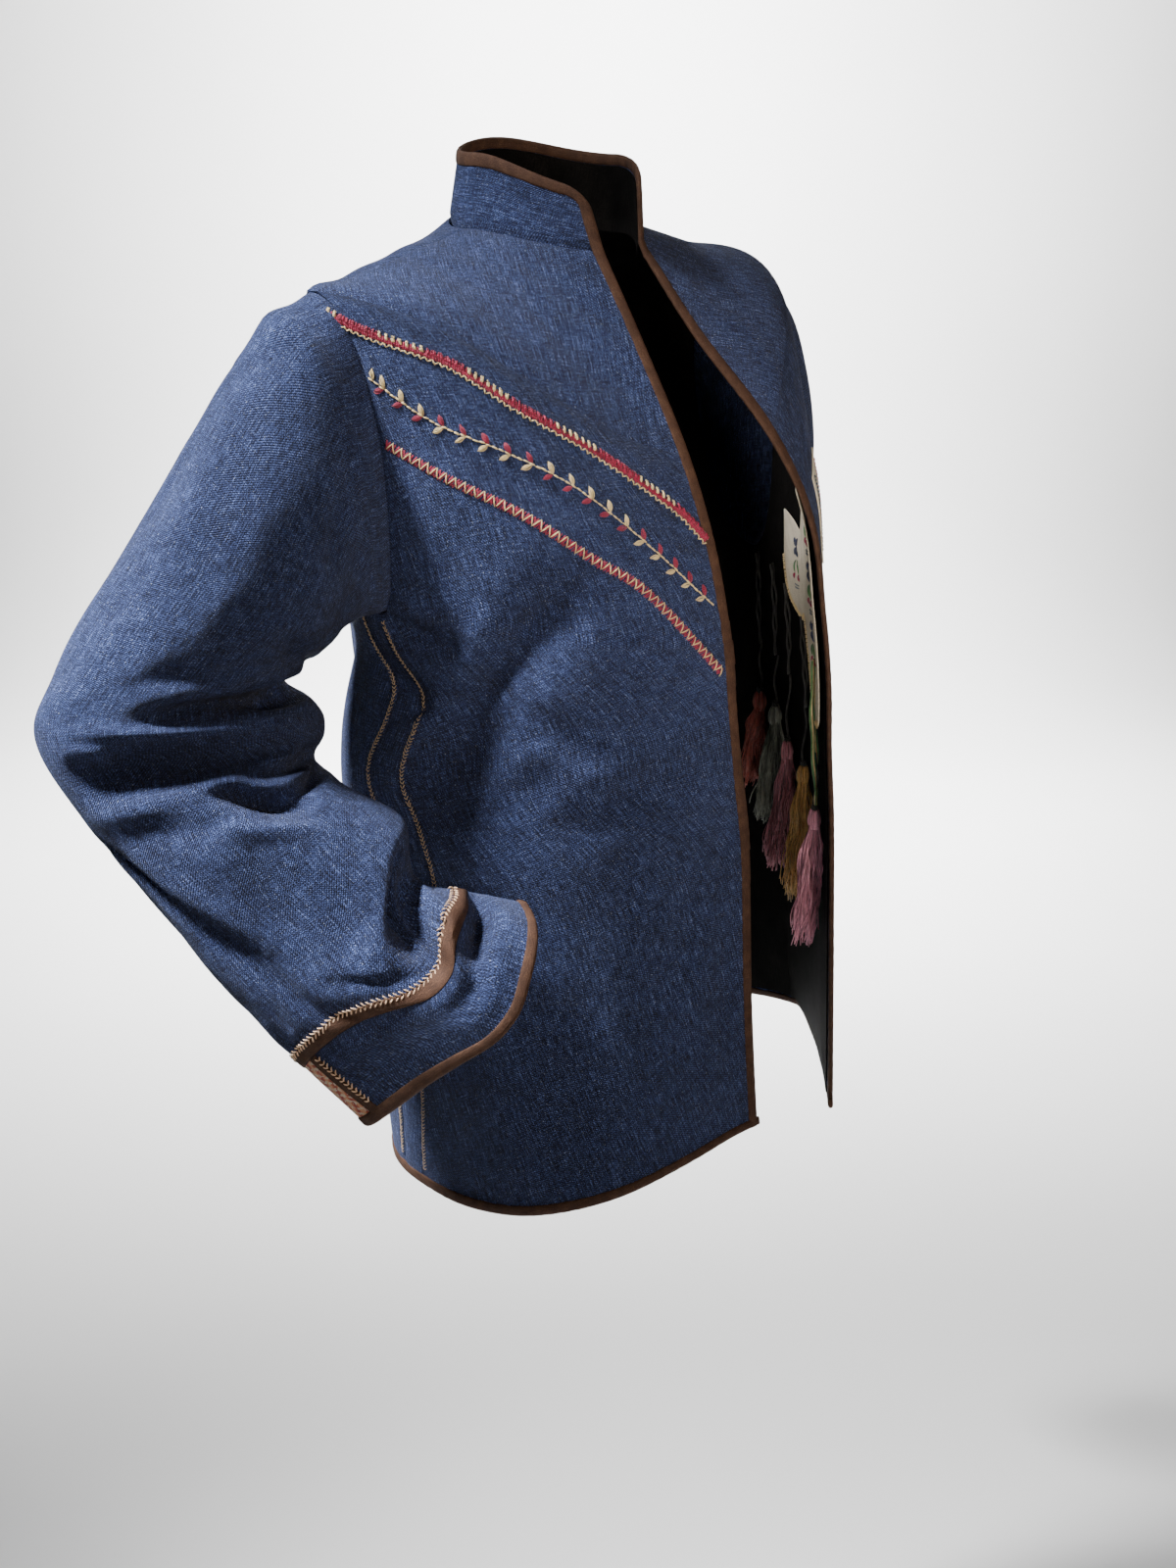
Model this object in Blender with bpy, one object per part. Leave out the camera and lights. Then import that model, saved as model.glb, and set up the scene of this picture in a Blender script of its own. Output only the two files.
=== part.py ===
"""Embroidered hemp jacket, standing open and hollow as it is worn.

Frame: metres, +Z up, the wearer faces -Y and the wearer's right is -X.
The origin is on the neck's axis at the height of the shoulder points.
"""
import math
from functools import lru_cache

import bmesh
import bpy
from mathutils import Vector

# ---------------------------------------------------------------- driving sizes
CLOTH = 0.0018          # wall of the hemp cloth
LINING = 0.0009         # wall of the black lining
COLLAR_CLOTH = 0.0024   # the collar's doubled cloth
TAPE = 0.0010           # wall of the brown strips that lie on the cloth
BINDING = 0.0030        # wall of the folded brown binding
BINDING_WIDTH = 0.0075  # how far the binding reaches in from an edge
SEAM_GAP = 0.0003       # room between two pieces at a seam
ARMHOLE_GAP = 0.0007    # and at an armhole, where the walls meet at an angle
STRIP_WIDTH = 0.0090    # the flat brown strips on the sleeves
COLLAR_CORNER = 0.016   # radius of the collar's two front corners
ARM_ROWS = 10           # rows of each armhole half, shared with the sleeve
LINING_EDGE = 0.0012    # how far inside the cloth the lining lies at its edges
LINING_HANG = 0.0030    # and how much further inside it hangs away from them
LINING_SHORT = 0.0025   # and how far it ends above the hem's binding
LINING_SPREAD = 1.9     # it spans each fold of the cloth with a wider, deeper one
LINING_SWELL = 1.2

SHOULDER_LEVEL = 2.0    # levels of the body table that the armhole runs between
UNDERARM_LEVEL = 4.0
HEM_LEVEL = 9.0
ARMHOLE_FRONT = 12.0    # degrees that the armhole bites into the front and back
ARMHOLE_BACK = 14.0

# One row for each ring round the body.  Edge columns are the two front edges,
# side columns the widest points, centre columns the ring's middle, and round
# columns say how square each quarter is (2 is an ellipse, 1 a straight slant).
# The gore columns are the angles of the two seams of the side gore.
BODY_COLUMNS = (
    "name", "right_edge_x", "right_edge_y", "right_edge_z", "left_edge_x", "left_edge_y", "left_edge_z",
    "right_side_x", "right_side_z", "left_side_x", "left_side_z", "back_y", "back_z",
    "centre_x", "centre_y", "round_right", "round_left", "round_back", "gore_front", "gore_back",
)
BODY = (
    ("neckline", -.028, -.092, -.018, .047, -.050, -.022, -.075, -.004, .075, -.004, .064, .009,
     .000, .000, 2.0, 2.0, 2.0, 90, 90),
    ("collarbone", -.024, -.130, -.080, .055, -.098, -.080, -.131, -.023, .131, -.019, .098, -.052,
     .000, .000, 1.75, 1.75, 1.65, 90, 90),
    ("shoulder", -.015, -.165, -.151, .083, -.148, -.150, -.205, -.043, .207, -.039, .118, -.135,
     .000, .000, 1.55, 1.6, 1.4, 90, 90),
    ("chest", -.001, -.179, -.217, .105, -.171, -.213, -.200, -.140, .210, -.135, .130, -.190,
     .004, -.004, 1.85, 1.7, 1.9, 89, 91),
    ("underarm", .009, -.186, -.283, .114, -.179, -.283, -.186, -.262, .208, -.262, .132, -.275,
     .010, -.010, 2.1, 1.75, 2.1, 86, 93),
    ("flank", .014, -.188, -.335, .118, -.183, -.335, -.185, -.318, .211, -.320, .130, -.325,
     .016, -.014, 2.2, 1.7, 2.1, 76, 83),
    ("waist", .019, -.190, -.385, .118, -.186, -.385, -.187, -.380, .217, -.380, .125, -.385,
     .020, -.018, 2.3, 1.6, 2.1, 82, 90),
    ("low_waist", .025, -.193, -.445, .118, -.191, -.445, -.186, -.450, .223, -.450, .119, -.450,
     .026, -.028, 2.4, 1.5, 2.1, 76, 84),
    ("hip", .024, -.200, -.555, .116, -.198, -.560, -.178, -.575, .234, -.568, .109, -.575,
     .028, -.040, 2.7, 1.3, 2.1, 85, 93),
    ("hem", .027, -.206, -.658, .113, -.205, -.672, -.167, -.704, .245, -.674, .100, -.700,
     .030, -.050, 3.0, 1.12, 2.1, 92, 100),
)

# The stand collar is a second pair of rings, the lower one on the neckline.
COLLAR = (
    BODY[0],
    ("collar_top", -.034, -.081, .022, .049, -.046, .029, -.067, .046, .067, .044, .056, .056,
     .000, .000, 2.0, 2.0, 2.0, 90, 90),
)

# Sleeve sections: the outer line runs from the shoulder over the elbow to the
# cuff's lower corner, the inner line from the underarm past the elbow's crease
# to the cuff's upper corner.  x is measured out from the wearer's middle.
SLEEVE_COLUMNS = (
    "name", "outer_x", "outer_y", "outer_z", "inner_x", "inner_y", "inner_z",
    "half_depth", "lead_high", "lead_low", "taper", "bulge",
)
RIGHT_SLEEVE = (
    ("head", .256, .010, -.083, .198, -.002, -.270, .064, .000, .000, .00, .000),
    ("upper", .306, .018, -.142, .208, -.004, -.277, .062, .000, .000, .00, .000),
    ("biceps", .358, .026, -.215, .224, -.008, -.288, .060, .000, .000, .00, .000),
    ("above_elbow", .395, .039, -.278, .242, -.012, -.301, .058, .002, .002, .00, .000),
    ("elbow", .409, .047, -.323, .231, -.028, -.323, .056, .004, .004, .00, .000),
    ("below_elbow", .391, .022, -.378, .243, -.042, -.346, .054, .006, .006, .05, .000),
    ("forearm", .365, -.014, -.431, .243, -.063, -.362, .053, .010, .008, .10, .000),
    ("swell", .340, -.050, -.484, .215, -.094, -.386, .053, .012, .008, .15, .005),
    ("gather", .320, -.078, -.519, .220, -.114, -.423, .050, .014, .004, .20, .013),
    ("strip", .304, -.096, -.544, .203, -.150, -.427, .046, .020, -.004, .40, .022),
    ("cuff", .276, -.127, -.585, .177, -.182, -.435, .042, .036, .008, .60, .010),
)
LEFT_SLEEVE = (
    ("head", .236, .004, -.066, .216, .007, -.268, .048, .000, .000, .00, .000),
    ("upper", .258, .012, -.128, .226, .012, -.284, .045, .000, .000, .00, .000),
    ("biceps", .284, .034, -.205, .232, .032, -.311, .048, .000, .000, .00, .000),
    ("above_elbow", .322, .068, -.300, .241, .060, -.375, .054, .000, .000, .00, .000),
    ("elbow", .356, .104, -.390, .264, .092, -.440, .060, .000, .000, .00, .000),
    ("forearm", .372, .126, -.475, .280, .114, -.505, .062, .000, .000, .00, .000),
    ("gather", .382, .140, -.550, .290, .128, -.568, .064, .000, .000, .05, .008),
    ("strip", .386, .146, -.598, .294, .134, -.608, .066, .000, .000, .08, .013),
    ("cuff", .390, .150, -.666, .298, .138, -.672, .068, .000, .000, .10, .000),
)

# Tassels inside the left front, from the front edge towards the side.
TASSEL_COLUMNS = ("name", "x", "y", "head_z", "tip_z", "hang_z", "colour")
TASSELS = (
    ("tassel_pink", .1332, -.1592, -.446, -.560, -.395, (.46, .20, .33)),
    ("tassel_gold", .1591, -.1228, -.424, -.535, -.372, (.45, .30, .12)),
    ("tassel_mauve", .1774, -.0881, -.415, -.526, -.355, (.33, .20, .32)),
    ("tassel_teal", .1867, -.0653, -.392, -.488, -.345, (.16, .26, .29)),
    ("tassel_rust", .1912, -.0438, -.385, -.464, -.340, (.40, .16, .09)),
)

HEMP = (0.045, 0.082, 0.215)
BROWN = (0.105, 0.052, 0.030)
BLACK = (0.012, 0.012, 0.014)
CREAM = (0.62, 0.50, 0.36)
RED_CLOTH = (0.45, 0.12, 0.08)

# Folds of the body, each a trough between two points: degrees round from the
# front's middle, heights, and the trough's width and depth.
BODY_FOLDS = (
    (40, -.234, 56, -.292, .020, .011),
    (56, -.292, 78, -.396, .022, .013),
    (80, -.270, 62, -.275, .012, .006),
    (86, -.303, 72, -.319, .014, .008),
    (54, -.370, 76, -.404, .018, .009),
    (52, -.319, 36, -.352, .015, .006),
    (24, -.371, 44, -.398, .016, .006),
    (60, -.470, 82, -.500, .022, .007),
    (112, -.300, 128, -.375, .022, .008),
    (150, -.430, 196, -.455, .026, .007),
    (206, -.350, 236, -.310, .022, .006),
    (-84, -.330, -110, -.390, .020, .006),
    (-82, -.420, -66, -.470, .020, .005),
)
# Folds of a sleeve: sections and turns round from the outer line, where a
# quarter turn is the front of the sleeve.
SLEEVE_FOLDS = {
    "right": (
        (4.65, .19, 3.90, .50, .015, .019),
        (5.60, .08, 5.70, .36, .016, .018),
        (5.70, .36, 6.05, .50, .013, .012),
        (6.15, .26, 6.90, .35, .012, .009),
        (8.80, .42, 9.80, .30, .014, .010),
        (10.36, .48, 10.42, .30, .012, .010),
        (7.30, .22, 8.40, .18, .016, .005),
        (3.10, .36, 3.30, .48, .014, .006),
        (4.20, .62, 4.40, .92, .018, .012),
        (5.60, .60, 5.90, .85, .016, .010),
    ),
    "left": (
        (1.60, .30, 2.20, .55, .016, .007),
        (4.00, .10, 4.40, .40, .016, .008),
        (5.00, .60, 4.70, .92, .016, .008),
        (6.00, .20, 6.30, .50, .016, .006),
    ),
}
BULGE_TURN = 0.29       # where round the sleeve the gathered cloth sags over the cuff
BULGE_WIDTH = 0.065
FOLD_STATION = 0.055    # metres between sleeve sections where folds are measured
FOLD_ROUND = 0.42       # and metres round the sleeve


# ---------------------------------------------------------------- curves
def along(values, place):
    """A smooth curve through evenly spaced values, read at a place."""
    last = len(values) - 1
    place = min(max(place, 0.0), float(last))
    i = min(int(place), last - 1)
    f = place - i
    a, b = values[i], values[i + 1]
    before = values[i - 1] if i else a + (a - b)
    after = values[i + 2] if i + 2 <= last else b + (b - a)
    slope_a, slope_b = (b - before) * 0.5, (after - a) * 0.5
    return (a * (2 * f**3 - 3 * f**2 + 1) + slope_a * (f**3 - 2 * f**2 + f)
            + b * (3 * f**2 - 2 * f**3) + slope_b * (f**3 - f**2))


def mix(a, b, share):
    return a + (b - a) * share


def ease(share):
    share = min(max(share, 0.0), 1.0)
    return share * share * (3 - 2 * share)


def trough(a, b, start, end, width, depth):
    """Depth at (a, b) of a soft trough that runs from start to end."""
    run = (end[0] - start[0], end[1] - start[1])
    length2 = run[0] ** 2 + run[1] ** 2
    share = ((a - start[0]) * run[0] + (b - start[1]) * run[1]) / length2
    inside = min(max(share, 0.0), 1.0)
    away = math.hypot(a - start[0] - run[0] * inside, b - start[1] - run[1] * inside)
    swell = 0.55 + 0.45 * math.sin(math.pi * inside)
    return depth * swell * math.exp(-((away / width) ** 2))


# ---------------------------------------------------------------- body surface
BODY_RADIUS = 0.19      # turns degrees into metres where folds are measured


@lru_cache(maxsize=None)
def body_level(level):
    return {name: along([row[i] for row in BODY], level)
            for i, name in enumerate(BODY_COLUMNS) if name != "name"}


def ring_point(ring, angle):
    """A point of a ring, the angle in degrees from the front to the wearer's right."""
    angle = (angle + 180.0) % 360.0 - 180.0
    turn = math.radians(angle)
    side = "right" if angle >= 0 else "left"
    half = abs(ring[side + "_side_x"] - ring["centre_x"])
    side_z = ring[side + "_side_z"]
    if abs(angle) > 90:
        depth, power = ring["back_y"] - ring["centre_y"], ring["round_back"]
        end_z = ring["back_z"]
    else:
        power = ring["round_" + side]
        across = abs(ring[side + "_edge_x"] - ring["centre_x"]) / half
        depth = (ring["centre_y"] - ring[side + "_edge_y"]) / (1 - across**power) ** (1 / power)
        facing = math.cos(math.radians(edge_angle(ring, side))) ** 2
        end_z = side_z + (ring[side + "_edge_z"] - side_z) / facing
    sine, cosine = math.sin(turn), math.cos(turn)
    reach = (abs(sine / half) ** power + abs(cosine / depth) ** power) ** (-1 / power)
    return Vector((ring["centre_x"] - reach * sine, ring["centre_y"] - reach * cosine,
                   mix(side_z, end_z, cosine * cosine)))


def edge_angle(ring, side):
    return math.degrees(math.atan2(ring["centre_x"] - ring[side + "_edge_x"],
                                   ring["centre_y"] - ring[side + "_edge_y"]))


def body_smooth(level, angle):
    return ring_point(body_level(level), angle)


@lru_cache(maxsize=None)
def body_normal(level, angle):
    step_level, step_angle = 0.02, 0.5
    down = body_smooth(level + step_level, angle) - body_smooth(level - step_level, angle)
    round_ = body_smooth(level, angle + step_angle) - body_smooth(level, angle - step_angle)
    normal = down.cross(round_).normalized()
    ring = body_level(level)
    out = body_smooth(level, angle) - Vector((ring["centre_x"], ring["centre_y"], ring["right_side_z"] - 0.1))
    return normal if normal.dot(out) > 0 else -normal


def from_front_edge(level, angle):
    """Metres round the body from the nearer front edge."""
    ring = body_level(level)
    angle = (angle + 180.0) % 360.0 - 180.0
    right = angle - edge_angle(ring, "right")
    left = edge_angle(ring, "left") - angle
    return math.radians(min(abs(right), abs(left))) * BODY_RADIUS


def body_folds(level, angle, spread=1.0):
    """How deep the cloth is folded in, which dies away at edges, hem and neck."""
    height = body_smooth(level, angle).z
    total = 0.0
    for from_angle, from_height, to_angle, to_height, width, size in BODY_FOLDS:
        turned = angle
        while turned - (from_angle + to_angle) / 2 > 180:
            turned -= 360
        while turned - (from_angle + to_angle) / 2 < -180:
            turned += 360
        start = (math.radians(from_angle) * BODY_RADIUS, from_height)
        end = (math.radians(to_angle) * BODY_RADIUS, to_height)
        metres = math.radians(turned) * BODY_RADIUS
        total += trough(metres, height, start, end, width * spread, size) ** 3
    hem = body_smooth(HEM_LEVEL, angle).z
    fade = ease(from_front_edge(level, angle) / 0.045) * ease((height - hem) / 0.05)
    return total ** (1 / 3) * fade


def body_point(level, angle):
    return body_smooth(level, angle) - body_normal(level, angle) * body_folds(level, angle)


# ---------------------------------------------------------------- collar surface
def collar_ring(height):
    return {name: mix(COLLAR[0][i], COLLAR[1][i], height)
            for i, name in enumerate(BODY_COLUMNS) if name != "name"}


def collar_point(height, angle):
    return ring_point(collar_ring(height), angle)


@lru_cache(maxsize=None)
def collar_normal(height, angle):
    up = collar_point(height + 0.05, angle) - collar_point(height - 0.05, angle)
    round_ = collar_point(height, angle + 0.5) - collar_point(height, angle - 0.5)
    normal = up.cross(round_).normalized()
    out = Vector((collar_point(height, angle).x, collar_point(height, angle).y, 0.0))
    return normal if normal.dot(out) > 0 else -normal


# ---------------------------------------------------------------- armholes
def armhole(side, share, half):
    """(level, angle) of the armhole's edge; share runs 0 at the shoulder to 1."""
    level = 3.0 - math.cos(math.pi * share)
    ring = body_level(UNDERARM_LEVEL)
    bite = math.sin(math.pi * share)
    if half == "front":
        angle = 90.0 - ARMHOLE_FRONT * bite - (90.0 - ring["gore_front"]) * share**2
    else:
        angle = 90.0 + ARMHOLE_BACK * bite - (90.0 - ring["gore_back"]) * share**2
    return level, angle * SIGN[side]


SIGN = {"right": 1.0, "left": -1.0}
RING = 2 * ARM_ROWS + 2


def armhole_ring(side):
    """The armhole's edge points and normals, from the shoulder down the front."""
    places = [armhole(side, i / ARM_ROWS, "front") for i in range(ARM_ROWS + 1)]
    front, back = places[-1], armhole(side, 1.0, "back")
    places.append((front[0], (front[1] + back[1]) / 2))
    places += [armhole(side, i / ARM_ROWS, "back") for i in range(ARM_ROWS, 0, -1)]
    points = [body_point(*place) for place in places]
    middle = sum(points, Vector()) / len(points)
    points = [p + (middle - p).normalized() * ARMHOLE_GAP for p in points]
    return points, [body_normal(*place) for place in places]


# ---------------------------------------------------------------- sleeve surface
class Sleeve:
    """A tube from the armhole through the sections of its table."""

    def __init__(self, side, table):
        self.side = side
        self.folds = SLEEVE_FOLDS[side]
        self.rows = [dict(zip(SLEEVE_COLUMNS, row)) for row in table]
        self.last = len(self.rows)
        self.strip = self.last - 1.0
        self.outer = [self.line_point(row, "outer") for row in self.rows]
        self.inner = [self.line_point(row, "inner") for row in self.rows]
        points, self.start_normals = armhole_ring(side)
        self.rings = [points] + [self.section(i) for i in range(len(self.rows))]
        self.middles = [sum(ring, Vector()) / RING for ring in self.rings]

    def line_point(self, row, line):
        return Vector((-row[line + "_x"] * SIGN[self.side], row[line + "_y"], row[line + "_z"]))

    def section(self, i):
        row, outer, inner = self.rows[i], self.outer[i], self.inner[i]
        before, after = max(i - 1, 0), min(i + 1, len(self.rows) - 1)
        run = (self.outer[after] + self.inner[after]) - (self.outer[before] + self.inner[before])
        middle, wide = (outer + inner) / 2, (outer - inner) / 2
        front = wide.cross(run).normalized() * SIGN[self.side]
        ahead = run.normalized()
        points = []
        for k in range(RING):
            turn = 2 * math.pi * k / RING
            depth = row["half_depth"] * (1 - row["taper"] * math.cos(turn))
            lead = mix(row["lead_low"], row["lead_high"], (1 - math.cos(turn)) / 2)
            lead *= math.sin(turn) * (1.0 if turn < math.pi else 0.3)
            lead += row["bulge"] * math.exp(-((k / RING - BULGE_TURN) / BULGE_WIDTH) ** 2)
            points.append(middle + wide * math.cos(turn) + front * depth * math.sin(turn) + ahead * lead)
        return points

    def smooth(self, station, k):
        """Ring point k, which may lie between two ring points."""
        low = math.floor(k)
        share = k - low
        column = [ring[low % RING] for ring in self.rings]
        point = along(column, station)
        if share > 1e-9:
            column = [ring[(low + 1) % RING] for ring in self.rings]
            point = mix(point, along(column, station), share)
        return point

    def normal(self, station, k):
        near, far = max(station - 0.03, 0.0), min(station + 0.03, float(self.last))
        run = self.smooth(far, k) - self.smooth(near, k)
        round_ = self.smooth(station, k + 1) - self.smooth(station, k - 1)
        normal = run.cross(round_).normalized()
        out = self.smooth(station, k) - along(self.middles, station)
        normal = normal if normal.dot(out) > 0 else -normal
        if station < 0.6:
            start = mix(self.start_normals[int(k) % RING], self.start_normals[(int(k) + 1) % RING], k % 1)
            normal = mix(start, normal, ease(station / 0.6)).normalized()
        return normal

    def fold_depth(self, station, k):
        turn = k / RING
        total = 0.0
        for from_station, from_turn, to_station, to_turn, width, size in self.folds:
            start = (from_station * FOLD_STATION, from_turn * FOLD_ROUND)
            end = (to_station * FOLD_STATION, to_turn * FOLD_ROUND)
            total += trough(station * FOLD_STATION, turn * FOLD_ROUND, start, end, width, size) ** 3
        return total ** (1 / 3) * ease(station / 1.2) * ease((self.last - station) / 0.8)

    def point(self, station, k):
        return self.smooth(station, k) - self.normal(station, k) * self.fold_depth(station, k)


# ---------------------------------------------------------------- meshes
def paint(name, colour, roughness=0.85):
    material = bpy.data.materials.get(name)
    if material is None:
        material = bpy.data.materials.new(name)
        material.use_nodes = True
        shader = material.node_tree.nodes["Principled BSDF"]
        shader.inputs["Base Color"].default_value = (*colour, 1.0)
        shader.inputs["Roughness"].default_value = roughness
        shader.inputs["Metallic"].default_value = 0.0
    return material


def finish(name, mesh_data, material):
    """Turn a bmesh into a named object with outward faces."""
    bmesh.ops.recalc_face_normals(mesh_data, faces=mesh_data.faces)
    mesh = bpy.data.meshes.new(name)
    mesh_data.to_mesh(mesh)
    mesh_data.free()
    thing = bpy.data.objects.new(name, mesh)
    bpy.context.scene.collection.objects.link(thing)
    mesh.materials.append(material)
    mesh.shade_smooth()
    mesh.set_sharp_from_angle(angle=math.radians(50))
    return thing


def wall(name, outer, inner, material, closed=False):
    """A closed wall between two grids of points with the same rows."""
    mesh = bmesh.new()
    sheets = [[[mesh.verts.new(p) for p in row] for row in grid] for grid in (outer, inner)]
    rows, columns = len(outer), len(outer[0])
    span = columns if closed else columns - 1

    def quad(a, b, c, d):
        mesh.faces.new((a, b, c))
        mesh.faces.new((a, c, d))

    for i in range(rows - 1):
        for j in range(span):
            k = (j + 1) % columns
            out, in_ = sheets
            quad(out[i][j], out[i + 1][j], out[i + 1][k], out[i][k])
            mesh.faces.new((in_[i][j], in_[i + 1][k], in_[i + 1][j]))
            mesh.faces.new((in_[i][j], in_[i][k], in_[i + 1][k]))
    out, in_ = sheets
    for i in (0, rows - 1):
        for j in range(span):
            k = (j + 1) % columns
            quad(out[i][j], out[i][k], in_[i][k], in_[i][j])
    if not closed:
        for j in (0, columns - 1):
            for i in range(rows - 1):
                quad(out[i][j], in_[i][j], in_[i + 1][j], out[i + 1][j])
    return finish(name, mesh, material)


def layer(points, normals, lift):
    return [[p + n * lift for p, n in zip(point_row, normal_row)]
            for point_row, normal_row in zip(points, normals)]


def shell(name, places, point, normal, material, thickness, lift=0.0, closed=False):
    """A wall whose outer face lies at lift from the surface that point gives."""
    points = [[point(*place) for place in row] for row in places]
    normals = [[normal(*place) for place in row] for row in places]
    return wall(name, layer(points, normals, lift), layer(points, normals, lift - thickness),
                material, closed)


def shares(count):
    return [i / (count - 1) for i in range(count)]


# ---------------------------------------------------------------- body pieces
SEAM_ANGLE = math.degrees(SEAM_GAP / 2 / BODY_RADIUS)
NECK_ANGLE = math.degrees(SEAM_GAP / 2 / 0.075)
NECK_LEVEL = 0.012
HEM_STEP = 0.125         # metres of cloth between the last two levels
HEM_TRIM = (BINDING_WIDTH + SEAM_GAP) / HEM_STEP


def body_rows(count_above=5, count_below=15):
    """Levels of the panel rows, those of the armhole shared with the sleeve."""
    above = [mix(NECK_LEVEL, SHOULDER_LEVEL, f) for f in shares(count_above + 1)[:-1]]
    beside = [3.0 - math.cos(math.pi * i / ARM_ROWS) for i in range(ARM_ROWS + 1)]
    below = [mix(UNDERARM_LEVEL, HEM_LEVEL - HEM_TRIM, f) for f in shares(count_below + 1)[1:]]
    return above + beside + below


def seam_angle(level):
    return mix(NECK_ANGLE, SEAM_ANGLE, min(level / SHOULDER_LEVEL, 1.0))


def arm_angle(side, level, half):
    """Where a panel ends: shoulder seam, armhole edge or gore seam."""
    sign = SIGN[side]
    away = -1.0 if half == "front" else 1.0
    if level <= SHOULDER_LEVEL:
        return sign * (90.0 + away * seam_angle(level))
    if level < UNDERARM_LEVEL - 1e-6:
        share = math.acos(3.0 - level) / math.pi
        return armhole(side, share, half)[1] + sign * away * SEAM_ANGLE
    column = "gore_front" if half == "front" else "gore_back"
    return sign * (body_level(level)[column] + away * SEAM_ANGLE)


def inner_edge_angle(side, level, reach):
    """The angle that lies reach metres in from a front edge."""
    ring = body_level(level)
    angle = edge_angle(ring, side)
    radius = (body_smooth(level, angle) - Vector((ring["centre_x"], ring["centre_y"], 0))).to_2d().length
    return angle + SIGN[side] * math.degrees(reach / radius)


def front_places(side, rows, columns, reach):
    places = []
    for level in rows:
        start, end = inner_edge_angle(side, level, reach), arm_angle(side, level, "front")
        places.append([(level, mix(start, end, f)) for f in shares(columns)])
    return places


def back_places(rows, columns):
    places = []
    for level in rows:
        start = arm_angle("right", level, "back")
        end = 360.0 + arm_angle("left", level, "back")
        places.append([(level, mix(start, end, f)) for f in shares(columns)])
    return places


def gore_places(side, rows):
    places = []
    for level in rows:
        ring = body_level(level)
        start = SIGN[side] * (ring["gore_front"] + SEAM_ANGLE)
        end = SIGN[side] * (ring["gore_back"] - SEAM_ANGLE)
        places.append([(level, mix(start, end, f)) for f in shares(3)])
    return places


def build_body():
    hemp = paint("indigo_hemp", HEMP)
    rows = body_rows()
    reach = BINDING_WIDTH + SEAM_GAP
    shell("front_right", front_places("right", rows, 13, reach), body_point, body_normal, hemp, CLOTH)
    shell("front_left", front_places("left", rows, 11, reach), body_point, body_normal, hemp, CLOTH)
    shell("back", back_places(rows, 17), body_point, body_normal, hemp, CLOTH)
    below = [level for level in rows if level >= UNDERARM_LEVEL - 1e-6]
    for side in SIGN:
        shell("gore_" + side, gore_places(side, below), body_point, body_normal, hemp, CLOTH)


# ---------------------------------------------------------------- collar
COLLAR_HEIGHT = 0.046
COLLAR_COLUMNS = 24


def corner_retreat(height, radius, top):
    """How far a rounded corner has drawn back at a height, all in metres."""
    up = height - (top - radius)
    if up <= 0:
        return 0.0
    return radius - math.sqrt(max(radius**2 - up**2, 0.0))


def collar_end_angle(side, height, retreat):
    ring = collar_ring(height)
    angle = edge_angle(ring, side)
    radius = (collar_point(height, angle)).to_2d().length
    return angle + SIGN[side] * math.degrees(retreat / radius)


def build_collar():
    reach = BINDING_WIDTH + SEAM_GAP
    top = COLLAR_HEIGHT - reach
    heights = [0.0012, 0.014, 0.026, 0.033, 0.036, top]
    places = []
    for height in heights:
        retreat = reach + corner_retreat(height, COLLAR_CORNER - reach, top)
        share = height / COLLAR_HEIGHT
        start = collar_end_angle("right", share, retreat)
        end = 360.0 + collar_end_angle("left", share, retreat)
        places.append([(share, mix(start, end, f)) for f in shares(COLLAR_COLUMNS)])
    shell("collar", places, collar_point, collar_normal, paint("indigo_hemp", HEMP), COLLAR_CLOTH)
    facing = [[(row[0][0], mix(row[0][1], row[-1][1], f)) for f in shares(COLLAR_COLUMNS)] for row in places]
    shell("collar_facing", facing, collar_point, collar_normal, paint("black_lining", BLACK),
          LINING, lift=-COLLAR_CLOTH - SEAM_GAP)


# ---------------------------------------------------------------- bindings
def strip_between(name, outer_edge, inner_edge, material, thickness, lift):
    """A strip across two edges, each a list of (point, normal)."""
    rows = []
    for (edge, edge_normal), (inside, inside_normal) in zip(outer_edge, inner_edge):
        middle_normal = (edge_normal + inside_normal).normalized()
        rows.append(((edge, edge_normal), ((edge + inside) / 2, middle_normal), (inside, inside_normal)))
    crown = (0.0, thickness * 0.12, 0.0)
    outer = [[p + n * (lift + c) for (p, n), c in zip(row, crown)] for row in rows]
    inner = [[p + n * (lift - thickness) for p, n in row] for row in rows]
    return wall(name, outer, inner, material)


def front_edge_path(reach):
    """The open edge from the right hem over the collar to the left hem."""
    def body_side(side):
        levels = [HEM_LEVEL - HEM_TRIM] + body_rows()[-2:0:-1]
        return [(body_point, body_normal, level, inner_edge_angle(side, level, reach)) for level in levels]

    def collar_side(side):
        top = COLLAR_HEIGHT - reach
        radius = COLLAR_CORNER - reach
        heights = [0.004, 0.014, 0.022]
        straight = [(h, reach) for h in heights]
        round_ = []
        for f in shares(6):
            turn = f * math.pi / 2
            round_.append((top - radius + radius * math.sin(turn), reach + radius * (1 - math.cos(turn))))
        return [(collar_point, collar_normal, h / COLLAR_HEIGHT,
                 collar_end_angle(side, h / COLLAR_HEIGHT, retreat)) for h, retreat in straight + round_]

    right = body_side("right") + collar_side("right")
    left = body_side("left") + collar_side("left")
    top_share = (COLLAR_HEIGHT - reach) / COLLAR_HEIGHT
    start = collar_end_angle("right", top_share, COLLAR_CORNER)
    end = 360.0 + collar_end_angle("left", top_share, COLLAR_CORNER)
    over = [(collar_point, collar_normal, top_share, mix(start, end, f)) for f in shares(22)[1:-1]]
    return right + over + left[::-1]


def edge_list(path):
    return [(point(a, b), normal(a, b)) for point, normal, a, b in path]


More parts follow.
